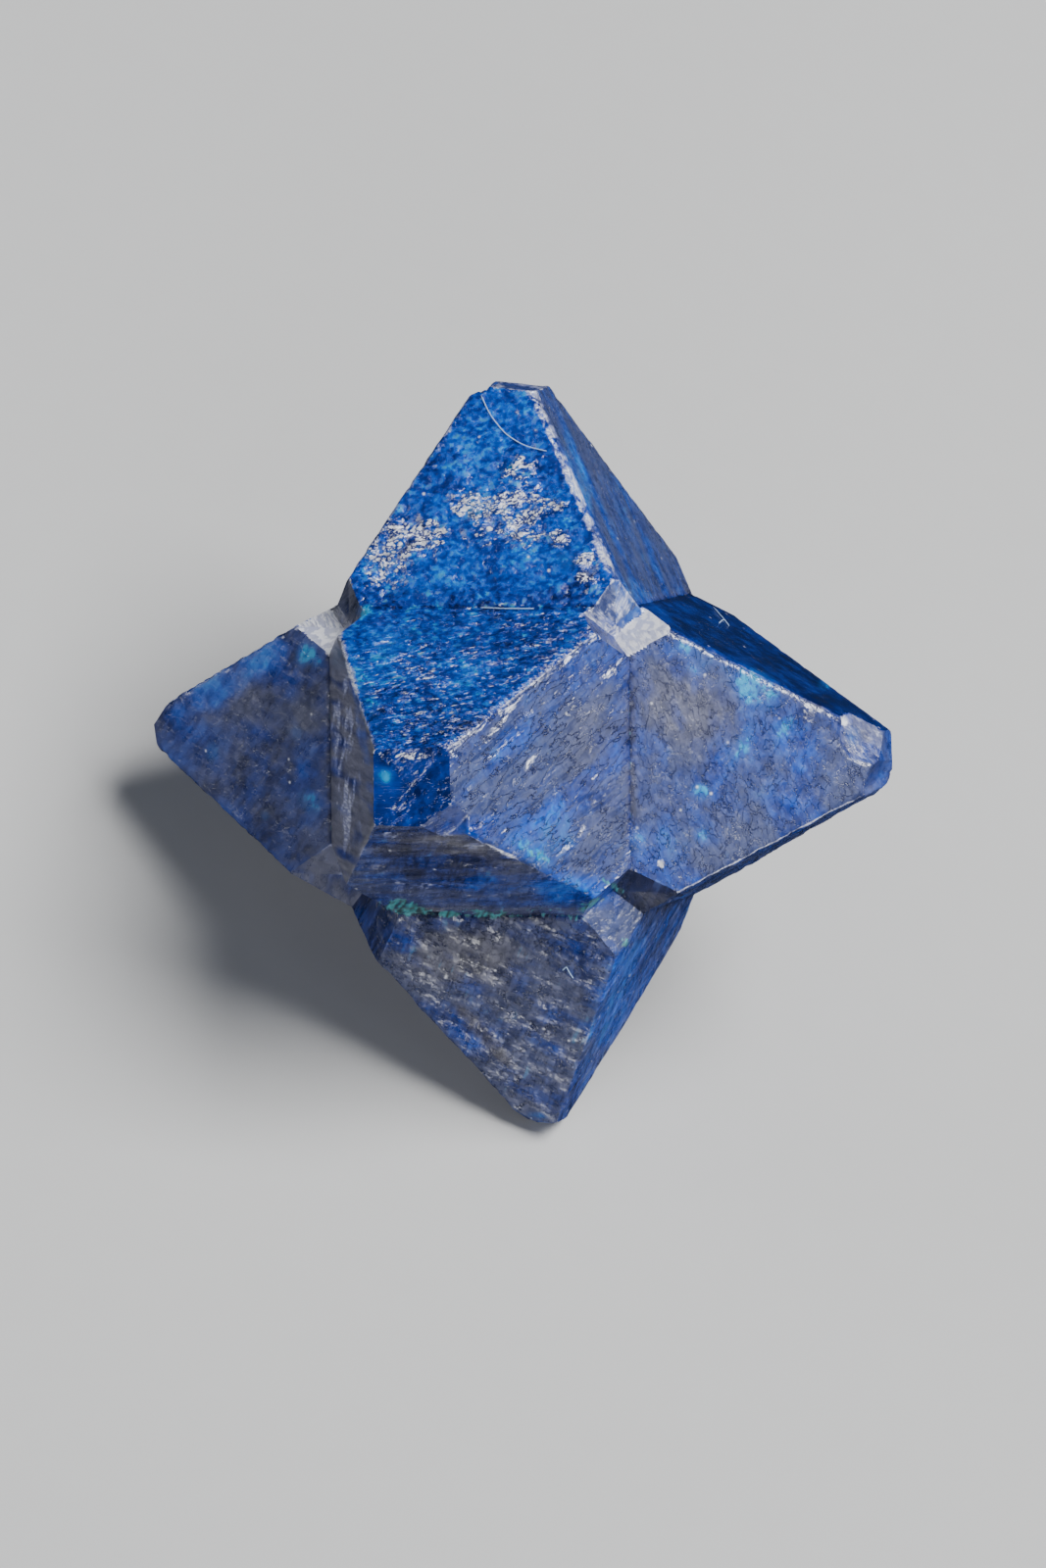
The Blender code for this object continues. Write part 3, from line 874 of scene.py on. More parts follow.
    def shared(self, values: np.ndarray) -> np.ndarray:
        """The mean at each joined point of the values that its sides give it.

        Args:
            values: one row, or one number, for every lattice point of every side.

        Returns:
            One row a joined point.
        """
        joined = self.joined.reshape(-1)
        counts = np.bincount(joined, minlength=self.count)[:, None]
        columns = values.reshape(len(joined), -1).T
        sums = [np.bincount(joined, column, minlength=self.count) for column in columns]
        return np.stack(sums, axis=-1) / counts

    def edges(self) -> np.ndarray:
        """Every edge of the joined lattice once, as pairs of point numbers."""
        faces = self.corner_of.reshape(-1, 3)
        pairs = np.concatenate([faces[:, [0, 1]], faces[:, [1, 2]], faces[:, [2, 0]]])
        return np.unique(np.sort(pairs, axis=1), axis=0)

    def snap(self) -> np.ndarray:
        """Move points beside a crisp facet's edge onto the line where its two planes meet.

        Of the two ends of a lattice edge that crosses such a line, the nearer one moves the shortest
        way to it: a sum of both planes' normals that makes up both distances.

        Returns:
            The pairs of points whose edges are crisp.
        """
        every = self.edges()
        normals, offsets = np.array(self.facets.normals), np.array(self.facets.offsets)
        crisp = np.array(self.facets.crisp)
        a, b = self.number[every].T
        dot = (normals[a] * normals[b]).sum(axis=1)
        across = (a != b) & (crisp[a] | crisp[b]) & (1 - dot**2 > self.snap_least)
        edges, a, b, dot = every[across], a[across], b[across], dot[across]
        moves = []
        for place in (self.places[edges[:, 0]], self.places[edges[:, 1]]):
            gap_a = offsets[a] - (normals[a] * place).sum(axis=1)
            gap_b = offsets[b] - (normals[b] * place).sum(axis=1)
            share_a = (gap_a - dot * gap_b) / (1 - dot**2)
            share_b = (gap_b - dot * gap_a) / (1 - dot**2)
            moves.append(normals[a] * share_a[:, None] + normals[b] * share_b[:, None])
        lengths = np.linalg.norm(moves, axis=2)
        nearer, rows = lengths.argmin(axis=0), np.arange(len(edges))
        point, length, move = edges[rows, nearer], lengths[nearer, rows], np.stack(moves)[nearer, rows]
        line = np.minimum(a, b) * len(normals) + np.maximum(a, b)
        order = np.argsort(-length)
        order = order[length[order] < self.snap_within]
        self.on_line = np.full(self.count, -1)
        shift = np.zeros((self.count, 3))
        shift[point[order]] = move[order]
        self.on_line[point[order]] = line[order]
        self.places = self.places + shift
        ends = self.on_line[every]
        return every[(ends[:, 0] == ends[:, 1]) & (ends[:, 0] >= 0)]

    def grooves(self) -> np.ndarray:
        """The lattice edges that run along the feet of the sides.

        Returns:
            Two point numbers an edge.
        """
        edges = self.edges()
        at_foot = np.zeros(self.count, bool)
        at_foot[self.joined[:, self.lattice.second + self.lattice.third == self.rows]] = True
        return edges[at_foot[edges].all(axis=1)]

    def grain(self, side: int, points: np.ndarray) -> tuple[np.ndarray, np.ndarray]:
        """Places on a side along and across its slanting grain, from the middle of its foot.

        Args:
            side: the side's number.
            points: places on it in the star's axes, in mm.

        Returns:
            How far along and how far across, in mm.
        """
        name = self.side_names[side]
        along, upslope, _ = self.side_frame(*name)
        aside = points - (AXES[name[0]] + AXES[name[1]]) * self.cube_half
        return turned(aside @ along, aside @ upslope, SIDES[name].slant)

    def margins(self) -> tuple[np.ndarray, np.ndarray]:
        """How far every lattice point lies from its side's ridges and foot: a share of its height.

        Returns:
            For every side, two rows of distances to its left and right ridges, and one to its foot.
        """
        ridge, foot = [], []
        second, third = self.lattice.second / self.rows, self.lattice.third / self.rows
        up = 1 - (self.lattice.second + self.lattice.third) / self.rows
        for name in self.side_names:
            tip, (left, right) = self.apex(name[0]), self.corners(*name)
            area = np.linalg.norm(np.cross(left - tip, right - tip))
            from_left = third * area / np.linalg.norm(left - tip)
            from_right = second * area / np.linalg.norm(right - tip)
            ridge.append(np.stack([from_left, from_right]))
            foot.append(up * area / np.linalg.norm(right - left))
        return np.stack(ridge), np.stack(foot)

    def world(self, points: np.ndarray) -> np.ndarray:
        """Points in the star's axes and mm, turned to rest and brought over the origin, in metres."""
        return (points @ self.turn().T + self.shift) * MM

    def settle(self) -> None:
        """Set the shift that stands the rest plane at z = 0 with the box's middle over the origin."""
        box = self.places @ self.turn().T
        middle = (box.min(axis=0) + box.max(axis=0)) / 2
        self.shift = np.array([-middle[0], -middle[1], self.facets.offsets[self.floor]])


@dataclass
class CrystalSkin:
    """The relief, the tones, and the crust, wear and painted light over the star's surface. Distances are in
    mm.

    A pair of distances or of sizes is where a fade begins and where it ends.
    """

    star: Star
    seed: int = 23
    # Relief: the sides' noise is this far apart, higher in clusters, lower on crisp facets.
    sides_apart: float = 7.31
    cluster_relief: float = 0.7
    crisp_relief: float = 0.4
    # Nicks in the ridges: two sizes, and how much the smaller ones count.
    nick_depth: float = 0.05
    nick_width: float = 0.16
    nick_sizes: Pair = (0.30, 0.11)
    nick_fine: float = 0.6
    # A mark's fade in shares of its size, and how far a side must turn to the camera to take one.
    mark_fade: Pair = (0.5, 1.6)
    least_facing: float = 0.05
    # Grooves at the feet of the sides: crust, painted shade and thinner sheen film. The white of crisp
    # edges and worn ridges is partly a painted highlight.
    groove_crust: Pair = (0.02, 0.15)
    groove_shade: float = 0.5
    groove_shade_width: float = 0.20
    groove_sheen_thin_width: float = 0.16
    edge_white: float = 0.12
    ridge_core: float = 0.4
    azure_clears: float = 0.8
    # Plates: how steep they stand in clusters, and the most that small flat facets have.
    cluster_tilt: float = 0.34
    steepest: float = 0.8
    flat_most: tuple[float, ...] = (0.16, 0.2, 0.5, 1.0)
    # The grain map lays the sides out in rows of five, this many plates apart.
    map_row: int = 5
    map_apart: Pair = (60.0, 90.0)

    def __post_init__(self) -> None:
        """Measure the margins and place the marks on the bare surface."""
        self.carver = Carver(self.seed)
        self.ridge, self.foot = self.star.margins()
        self.marks = self.place_marks()

    def place_marks(self) -> np.ndarray:
        """How strongly the marks cover the lattice points of the sides that the camera sees.

        A mark is 1 in the middle of its ellipse in the picture, and fades out beyond its edge.

        Returns:
            For every lattice point of every side, one share a tone.
        """
        star = self.star
        spots = star.view.pixels(star.places[star.joined])
        facing = np.array([star.side_frame(*name)[2] @ np.array(star.view.towards) for name in SIDES])
        seen = (facing > self.least_facing)[:, None]
        found = np.zeros((*star.joined.shape, len(Tone)))
        for tone, marks in MARKS.items():
            for mark in marks:
                across, upward = turned(spots[..., 0] - mark.column, mark.row - spots[..., 1], mark.tilt)
                away = np.hypot(across / mark.half_width, upward / mark.half_height)
                found[..., tone] += seen * (1 - eased(away, *self.mark_fade)) * mark.strength
        return found

    def carved(self) -> np.ndarray:
        """Raise the relief along the surface's own outward direction, least on crisp facets.

        Height is the side's depth times its kind of relief, more in clusters of plates. Ridges are
        nicked inward by noise that fades out beside them. The floor stays flat.

        Returns:
            The carved points, in mm.
        """
        star = self.star
        spots = star.places[star.joined]
        heights, nicks = [], []
        for side, look in enumerate(SIDES.values()):
            height = self.carver.height(look.relief, *star.grain(side, spots[side]), self.sides_apart * side)
            cluster = np.minimum(self.marks[side, :, Tone.GLINT], 1)
            heights.append(height * look.depth * (1 + self.cluster_relief * cluster))
            coarse, fine = (self.carver.hills.at(spots[side] / size) for size in self.nick_sizes)
            beside = 1 - eased(self.ridge[side].min(axis=0), 0.0, self.nick_width)
            nicks.append(-self.nick_depth * np.maximum(coarse + self.nick_fine * fine, 0) * beside)
        height = star.shared(np.stack(heights))[:, 0] + star.shared(np.stack(nicks))[:, 0]
        crisp = np.array(star.facets.crisp)[star.number] | (star.on_line >= 0)
        height = height * np.where(crisp, self.crisp_relief, 1.0) * (star.number != star.floor)
        return star.places + unit(star.shared(star.normal_at), rows=True) * height[:, None]

    def ridge_wear_and_highlight_of(self, spike: str, towards: str) -> list[Pair]:
        """How white and how wide the wear and painted highlight on a side's left and right ridges are.

        Args:
            spike: the pyramid.
            towards: the axis that the side looks to.

        Returns:
            White and width for the left ridge, then for the right one.
        """
        along = np.cross(AXES[spike], AXES[towards])
        found = []
        for way in (-along, along):
            other = next(name for name, axis in AXES.items() if np.array_equal(axis, way))
            found.append(RIDGE_WEAR_AND_HIGHLIGHT.get((spike, *sorted((towards, other))), PLAIN_RIDGE))
        return found

    def tones(self) -> np.ndarray:
        """The share of every tone at every corner of every small triangle.

        A side's own look is the ground, its ridges are white with wear and painted highlight, its
        grooves have painted shade and crust and less sheen film, and marks are added. The corners of a
        small flat facet take that facet's look.

        Returns:
            One row a corner, in the order of the tones.
        """
        star = self.star
        ground = np.zeros_like(self.marks)
        for side, (name, look) in enumerate(SIDES.items()):
            foot, base = self.foot[side], ground[side]
            base[:, : Tone.CYAN] = look.sheen_film, look.azure, look.shade, look.rough
            base[:, Tone.CRUST] = GROOVE_CRUST.get(name, PLAIN_CRUST) * (1 - eased(foot, *self.groove_crust))
            base[:, Tone.SHADE] += self.groove_shade * (1 - eased(foot, 0.0, self.groove_shade_width))
            # The sheen film thins into the groove, so the painted shade there shows.
            base[:, Tone.SHEEN_FILM] *= eased(foot, 0.0, self.groove_sheen_thin_width)
            # Ridges are white with wear and a painted highlight.
            for ridge, (white, wide) in zip(self.ridge[side], self.ridge_wear_and_highlight_of(*name)):
                band = white * (1 - eased(ridge, self.ridge_core * wide, wide))
                base[:, Tone.WHITE] = np.maximum(base[:, Tone.WHITE], band)
        own = ground[:, star.lattice.faces]
        marks = self.marks[:, star.lattice.faces]
        for number, look in enumerate(star.facets.looks):
            if look is not None:
                own[star.face_number == number] = look.shares()
        # Painted highlight along crisp edges.
        own[..., Tone.WHITE] += self.edge_white * (star.on_line >= 0)[star.corner_of]
        own[..., Tone.SHEEN_FILM] *= 1 - self.azure_clears * np.clip(marks[..., Tone.AZURE], 0.0, 1.0)
        return np.clip(own + marks, 0.0, 1.0).reshape(-1, len(Tone))

    def relish(self) -> np.ndarray:
        """How steep the plates are, how strong the creases and their painted shade, and how fine the
        speckle, at every corner.

        Each side has its own. Plates are steeper in clusters, and small flat facets are smoother.

        Returns:
            Four shares a corner; the last is 1.
        """
        star = self.star
        own = np.array([(look.tilt, look.wrinkle, look.mottle, 1.0) for look in SIDES.values()])
        every = np.repeat(own[:, None], star.joined.shape[1], axis=1)
        tilt = every[..., 0] + self.cluster_tilt * self.marks[..., Tone.GLINT]
        every[..., 0] = np.clip(tilt, 0.0, self.steepest)
        corners = every[:, star.lattice.faces]
        flat = np.array(star.facets.crisp)[star.face_number]
        corners[flat] = np.minimum(corners[flat], self.flat_most)
        return corners.reshape(-1, len(self.flat_most))

    def grain_map(self) -> np.ndarray:
        """Every corner's place counted in its side's own plates, each side far from the others.

        Returns:
            Plates along and across the grain, for the corners of every small triangle.
        """
        star = self.star
        spots = star.places[star.joined]
        found = []
        for side, look in enumerate(SIDES.values()):
            places = [way / size for way, size in zip(star.grain(side, spots[side]), look.plate)]
            shifts = (side % self.map_row, side // self.map_row)
            moved = [at + apart * by for at, apart, by in zip(places, self.map_apart, shifts)]
            found.append(np.stack(moved, axis=-1))
        return np.stack(found)[:, star.lattice.faces]

    def build(self) -> bpy.types.Object:
        """Make the star's mesh: the lattice, its relief, its grain map and its tones.

        Returns:
            The finished object, standing at the origin.
        """
        star = self.star
        places = star.world(self.carved())
        places[:, 2] = np.maximum(places[:, 2], 0.0)
        mesh = triangle_mesh("crystal_star", places, star.corner_of.reshape(-1, 3))
        layer = mesh.uv_layers.new(name="grain")
        layer.uv.foreach_set("vector", self.grain_map().reshape(-1).astype(np.float32))
        tones = self.tones()
        shares = {"tones": tones[:, : Tone.CYAN], "crust_wear_and_light": tones[:, Tone.CYAN :], "relish": self.relish()}
        for name, values in shares.items():
            held = mesh.attributes.new(name, "FLOAT_COLOR", "CORNER")
            held.data.foreach_set("color", values.reshape(-1).astype(np.float32))
        mark_sharp(mesh, np.concatenate([star.crisp_edges, star.grooves()]))
        LOG.info("star: %d points, %d triangles", len(places), len(mesh.polygons))
        return shown("crystal_star", mesh)


def triangle_mesh(name: str, places: np.ndarray, faces: np.ndarray) -> bpy.types.Mesh:
    """A smooth-shaded mesh from points and triangles.

    Args:
        name: the mesh's name.
        places: points in metres.
        faces: three point numbers a triangle, counted so that they face outward.

    Returns:
        The mesh, with its edges worked out.
    """
    mesh = bpy.data.meshes.new(name)
    mesh.vertices.add(len(places))
    mesh.vertices.foreach_set("co", places.astype(np.float32).reshape(-1))
    mesh.loops.add(faces.size)
    mesh.loops.foreach_set("vertex_index", faces.astype(np.int32).reshape(-1))
    mesh.polygons.add(len(faces))
    mesh.polygons.foreach_set("loop_start", np.arange(0, faces.size, 3, dtype=np.int32))
    mesh.polygons.foreach_set("use_smooth", np.ones(len(faces), bool))
    mesh.update(calc_edges=True)
    mesh.validate()
    return mesh


def mark_sharp(mesh: bpy.types.Mesh, pairs: np.ndarray) -> None:
    """Mark the edges between pairs of points as sharp.

    Args:
        mesh: the mesh, with its edges worked out.
        pairs: two point numbers an edge.
    """
    ends = np.zeros(len(mesh.edges) * 2, np.int32)
    mesh.edges.foreach_get("vertices", ends)
    span = len(mesh.vertices)
    ends = np.sort(ends.reshape(-1, 2).astype(np.int64), axis=1)
    pairs = np.sort(pairs.astype(np.int64), axis=1)
    sharp = np.isin(ends[:, 0] * span + ends[:, 1], pairs[:, 0] * span + pairs[:, 1])
    held = mesh.attributes.new("sharp_edge", "BOOLEAN", "EDGE")
    held.data.foreach_set("value", sharp)


def shown(name: str, data: bpy.types.ID | None) -> bpy.types.Object:
    """A new object in the scene, standing at the origin."""
    made = bpy.data.objects.new(name, data)
    bpy.context.scene.collection.objects.link(made)
    return made


@dataclass
class Sketch:
    """A node tree being wired. An input is a value, or a socket to link."""

    tree: bpy.types.NodeTree

    def feed(self, node: bpy.types.Node, inputs: Inputs) -> bpy.types.Node:
        """Link or set a node's inputs.

        Args:
            node: the node.
            inputs: values or sockets, by the input's name or number.

        Returns:
            The same node.
        """
        for name, value in inputs.items():
            if isinstance(value, Socket):
                self.tree.links.new(value, node.inputs[name])
            else:
                node.inputs[name].default_value = value
        return node

    def add(self, kind: str, inputs: Inputs | None = None, **settings: object) -> bpy.types.Node:
        """Add a node, set its options, and link or set its inputs.

        Args:
            kind: the node's type name.
            inputs: values or sockets for its inputs, by name or number.
            **settings: the node's own options.

        Returns:
            The node.
        """
        node = self.tree.nodes.new(kind)
        for name, value in settings.items():
            setattr(node, name, value)
        return self.feed(node, inputs or {})

    def placed(self, made: bpy.types.NodeTree, inputs: Inputs) -> Sockets:
        """Place a node group, wire its inputs and give back its outputs."""
        return self.feed(self.add("ShaderNodeGroup", node_tree=made), inputs).outputs

    def math(self, operation: str, a: Value, b: Value = 0.0, clamp: bool = False) -> Socket:
        """One operation on two values."""
        return self.add("ShaderNodeMath", {0: a, 1: b}, operation=operation, use_clamp=clamp).outputs[0]

    def times(self, a: Value, b: Value) -> Socket:
        """The product of two values."""
        return self.math("MULTIPLY", a, b)

    def line(self, value: Value, line: Pair, clamp: bool = False) -> Socket:
        """A value times a line's gain, plus its start."""
        return self.math("ADD", self.times(value, line[0]), line[1], clamp)

    def weighted(self, *parts: tuple[Value, Value]) -> Socket:
        """The sum of values that are each multiplied by a weight.

        Args:
            *parts: a value and its weight, each.

        Returns:
            The sum.
        """
        total, *others = [self.times(*part) for part in parts]
        for product in others:
            total = self.math("ADD", total, product)
        return total

    def vector(self, operation: str, a: Value, b: Value) -> Socket:
        """One operation on two vectors. A dot product gives a number."""
        node = self.add("ShaderNodeVectorMath", {0: a, 1: b}, operation=operation)
        return node.outputs["Value" if operation == "DOT_PRODUCT" else "Vector"]

    def scaled(self, vector: Value, factor: Value) -> Socket:
        """A vector times a number."""
        return self.add("ShaderNodeVectorMath", {0: vector, "Scale": factor}, operation="SCALE").outputs[0]

    def slope(self, value: Value, low: Value, high: Value, falling: bool = False) -> Socket:
        """An S curve from 0 at low to 1 at high, or from 1 down to 0."""
        ends = {"To Min": float(falling), "To Max": float(not falling)}
        inputs = {"Value": value, "From Min": low, "From Max": high, **ends}
        return self.add("ShaderNodeMapRange", inputs, interpolation_type="SMOOTHSTEP").outputs[0]

    def blend(self, share: Value, under: Value, over: Value) -> Socket:
        """One colour laid over another by a share from 0 to 1."""
        inputs = {0: share, COLOUR_A: rgba(under), COLOUR_B: rgba(over)}
        return self.add("ShaderNodeMix", inputs, data_type="RGBA", clamp_factor=True).outputs[COLOUR_OUT]


def rgba(colour: Value) -> Value:
    """A colour with its alpha, or the socket itself."""
    return (*colour, 1.0) if isinstance(colour, tuple) else colour


def new_group(name: str, inputs: str, outputs: str = "Value") -> tuple[Sketch, Sockets, bpy.types.Node]:
    """A shader node group. Its inputs and outputs are numbers, but Place is a vector.

    Args:
        name: the group's name.
        inputs: its inputs' names, with a blank between them.
        outputs: its outputs' names, likewise.

    Returns:
        The group's sketch, the sockets of its inputs, and its output node.
    """
    tree = bpy.data.node_groups.new(name, "ShaderNodeTree")
    for way, labels in (("INPUT", inputs), ("OUTPUT", outputs)):
        for label in labels.split():
            kind = "NodeSocketVector" if label == "Place" else "NodeSocketFloat"
            tree.interface.new_socket(name=label, in_out=way, socket_type=kind)
    sketch = Sketch(tree)
    return sketch, sketch.add("NodeGroupInput").outputs, sketch.add("NodeGroupOutput")


def noise_group() -> bpy.types.NodeTree:
    """Noise that is long one way and wide the other, spread out to fill 0 to 1.

    Returns:
        The node group.
    """
    sketch, given, out = new_group("grain_noise", "Place Long Wide Detail Spread")
    sizes = sketch.add("ShaderNodeCombineXYZ", {0: given["Long"], 1: given["Wide"], 2: 1.0})
    where = sketch.vector("DIVIDE", given["Place"], sizes.outputs[0])
    inputs = {"Vector": where, "Scale": 1.0, "Detail": given["Detail"], "Roughness": NOISE_ROUGHNESS}
    noise = sketch.add("ShaderNodeTexNoise", inputs).outputs[0]
    spread = sketch.times(sketch.math("SUBTRACT", noise, HALF), given["Spread"])
    sketch.feed(out, {0: sketch.math("ADD", spread, HALF, clamp=True)})
    return sketch.tree


def plate_group() -> bpy.types.NodeTree:
    """Small growth plates, each leaning its own way.

    Height is the way from a plate's own seed times a random lean, so a plate is flat and steps at
    its border. Tone is a random number a plate.

    Returns:
        The node group.
    """
    sketch, given, out = new_group("growth_plates", "Place Size Waver", "Height Tone")
    place = sketch.scaled(given["Place"], given["Size"])
    noise = sketch.add("ShaderNodeTexNoise", {"Vector": place, "Scale": WAVER_SCALE, "Detail": WAVER_DETAIL})
    waver = sketch.scaled(sketch.vector("SUBTRACT", noise.outputs[1], (HALF,) * 3), given["Waver"])
    bent = sketch.vector("ADD", place, waver)
    cells = sketch.add("ShaderNodeTexVoronoi", {"Vector": bent, "Scale": 1.0}, voronoi_dimensions="2D")
    lean = sketch.vector("SUBTRACT", cells.outputs["Color"], (HALF,) * 3)
    aside = sketch.vector("SUBTRACT", bent, cells.outputs["Position"])
    tone = sketch.add("ShaderNodeSeparateColor", {0: cells.outputs["Color"]}).outputs[2]
    sketch.feed(out, {"Height": sketch.vector("DOT_PRODUCT", lean, aside), "Tone": tone})
    return sketch.tree


def dust_group() -> bpy.types.NodeTree:
    """Scattered round dots: a share of evenly jittered seeds, each 1 within its radius.

    Returns:
        The node group.
    """
    sketch, given, out = new_group("dust_dots", "Place Apart Radius Share")
    scale = sketch.math("DIVIDE", 1.0, given["Apart"])
    cells = sketch.add("ShaderNodeTexVoronoi", {"Vector": given["Place"], "Scale": scale}).outputs
    away = sketch.times(cells["Distance"], given["Apart"])
    inside = sketch.slope(away, 0.0, given["Radius"], falling=True)
    pick = sketch.add("ShaderNodeSeparateColor", {0: cells["Color"]}).outputs[0]
    sketch.feed(out, {0: sketch.times(inside, sketch.math("LESS_THAN", pick, given["Share"]))})
    return sketch.tree


def patch_group() -> bpy.types.NodeTree:
    """Patches of a noise that cover as large a share as their weight says, with soft edges.

    Returns:
        The node group.
    """
    sketch, given, out = new_group("patches", "Noise Weight Softness")
    limit = sketch.math("SUBTRACT", 1.0, given["Weight"])
    low = sketch.math("SUBTRACT", limit, given["Softness"])
    high = sketch.math("ADD", limit, given["Softness"])
    sketch.feed(out, {0: sketch.slope(given["Noise"], low, high)})
    return sketch.tree


@dataclass(frozen=True)
class Pattern:
    """A noise: its length and width in mm, or in growth plates where it runs along the grain.

    Spread stretches it about its middle. Mottled adds detail where the surface is mottled.
    """

    long: float
    wide: float
    detail: float
    spread: float
    along_grain: bool = False
    mottled: float = 0.0


PATTERNS: dict[str, Pattern] = {
    "broad": Pattern(1.2, 1.2, 3.0, 2.2),
    "middle": Pattern(1.3, 1.2, 4.0, 2.4, True),
    "streak": Pattern(0.9, 0.4, 3.0, 2.6, True),
    "blotch": Pattern(0.55, 0.55, 4.0, 3.4),
    "speck": Pattern(0.15, 0.15, 3.0, 4.8),
    "film_and_sheen": Pattern(3.6, 3.0, 1.0, 2.6, True, 5.0),
    "creases": Pattern(0.85, 0.80, 4.0, 4.0, True),
    "creased places": Pattern(0.50, 0.50, 2.0, 4.0),
    "crumbs": Pattern(0.10, 0.10, 2.0, 4.0),
    "glint_paint": Pattern(0.62, 0.58, 3.0, 4.4, True),
}


@dataclass(frozen=True)
class CrystalFinish:
    """The crystal's colours and gloss.

    A mix gives patterns their weights. A line is a gain and a start. Soft is how soft the edges of
    patches are.
    """

    body: tuple[tuple[float, Colour], ...] = (
        (0.00, (0.001, 0.003, 0.026)),
        (0.26, (0.001, 0.008, 0.088)),
        (0.52, (0.001, 0.032, 0.290)),
        (0.74, (0.001, 0.084, 0.540)),
        (0.94, (0.004, 0.210, 0.760)),
    )
    body_mix: Mix = (("broad", 0.20), ("blotch", 0.22), ("speck", 0.34), ("middle", 0.12), ("chips", 0.08))
    # The azure share, partly a painted glow, lifts the body; the painted shade share deepens it.
    azure_lift: float = 0.42
    shade_lift: float = -0.46
    plates: Pair = (1.0, 2.7)
    plate_waver: float = 0.5

    # The film's colours, thin and thick, with its painted sheen of reflected light.
    sheen_film: Colour = (0.076, 0.102, 0.262)
    sheen_film_thin: Colour = (0.010, 0.020, 0.085)
    # Pale and dark greys that the sheen film turns to where the painted shade share is high.
    dust: Colour = (0.290, 0.285, 0.330)
    shaded_grey_dark: Colour = (0.030, 0.030, 0.042)
    sheen_film_mix: Mix = (("speck", 0.30), ("middle", 0.50), ("chips", 0.20))
    sheen_film_greying: float = 2.0
    sheen_film_patchy: float = 2.1
    sheen_film_most: float = 0.92

    # Painted shade along crooked creases.
    crease_width: float = 2.4
    crease_weight: float = 0.12
    crease_soft: float = 0.12
    crease_places: Pair = (0.75, 0.25)

    # Painted glow from inside the crystal: light blue clouds and cyan patches.
    cloud: Colour = (0.003, 0.130, 0.560)
    cloud_share: float = 0.8
    cloud_blotch: Pair = (0.7, 0.3)
    cyan: Colour = (0.004, 0.420, 0.760)
    cyan_mix: Mix = (("blotch", 0.4), ("speck", 0.6))
    cyan_weight: Pair = (0.42, 0.03)
    cyan_soft: float = 0.16
    cyan_share: float = 0.85

    crust: Colour = (0.030, 0.380, 0.420)
    crust_deep: Colour = (0.003, 0.045, 0.060)
    crust_mix: Mix = (("speck", 0.75), ("chips", 0.25))
    crust_soft: float = 0.12

    # White of painted glints, of wear with painted highlights, and of dust dots.
    white: Colour = (0.92, 0.93, 1.00)
    # Painted glints, with painted dark between them.
    glint_paint_creases: Pair = (5.4, -1.05)
    glint_paint_mix: Mix = (("middle", 0.7), ("plates", 0.3))
    glint_paint_weight: float = 0.58
    glint_paint_soft: float = 0.05
    glint_paint_dark: float = 0.50

    # Wear with painted highlights: lavender where light, white where strong.
    lavender: Colour = (0.200, 0.240, 0.580)
    wear_highlight_mix: Mix = (("chips", 0.25), ("blotch", 0.50), ("speck", 0.25))
    wear_highlight_soft: float = 0.12
    wear_highlight_share: Pair = (0.55, 0.25)
    wear_highlight_strokes: Pair = (2.0, -0.4)

    dots: Mix = (("Apart", 0.32), ("Radius", 0.062), ("Share", 0.11))
    dots_share: float = 0.9

    rough_crust: float = 0.3
    rough_chips: float = 0.24
    rough_speck: float = 0.16
    smoothest: float = 0.07
    refraction: float = 2.03

    bump: float = 1.0
    bump_height: float = 0.001
    plate_height: float = 2.2
    height_mix: Mix = (("lean", 0.24), ("small lean", 0.09), ("streak", 0.020), ("middle", 0.050))
    speck_height: float = 0.009
    crease_height: float = -0.036

    def material(self) -> bpy.types.Material:
        """The layers over a mottled blue body with painted shade: film with painted sheen, creases with
        painted shade, painted cyan glow, crust, painted glints, wear with painted highlights, and dust.

        Returns:
            The finished material.
        """
        made, _, shader = new_material("crystal_blue")
        layers = CrystalLayers(made.node_tree, self)
        colour = layers.body()
        inner = (layers.film_and_sheen, layers.crease_shade, layers.glow, layers.encrust)
        for coat in (*inner, layers.glint_paint, layers.wear_and_highlight, layers.dust):
            for share, over in coat():
                colour = layers.blend(share, colour, over)
        bump = {"Strength": self.bump, "Distance": self.bump_height, "Height": layers.height()}
        normal = layers.add("ShaderNodeBump", bump).outputs[0]
        inputs = {"Base Color": colour, "Roughness": layers.roughness(), "Normal": normal}
        layers.feed(shader, {**inputs, "IOR": self.refraction})
        return made


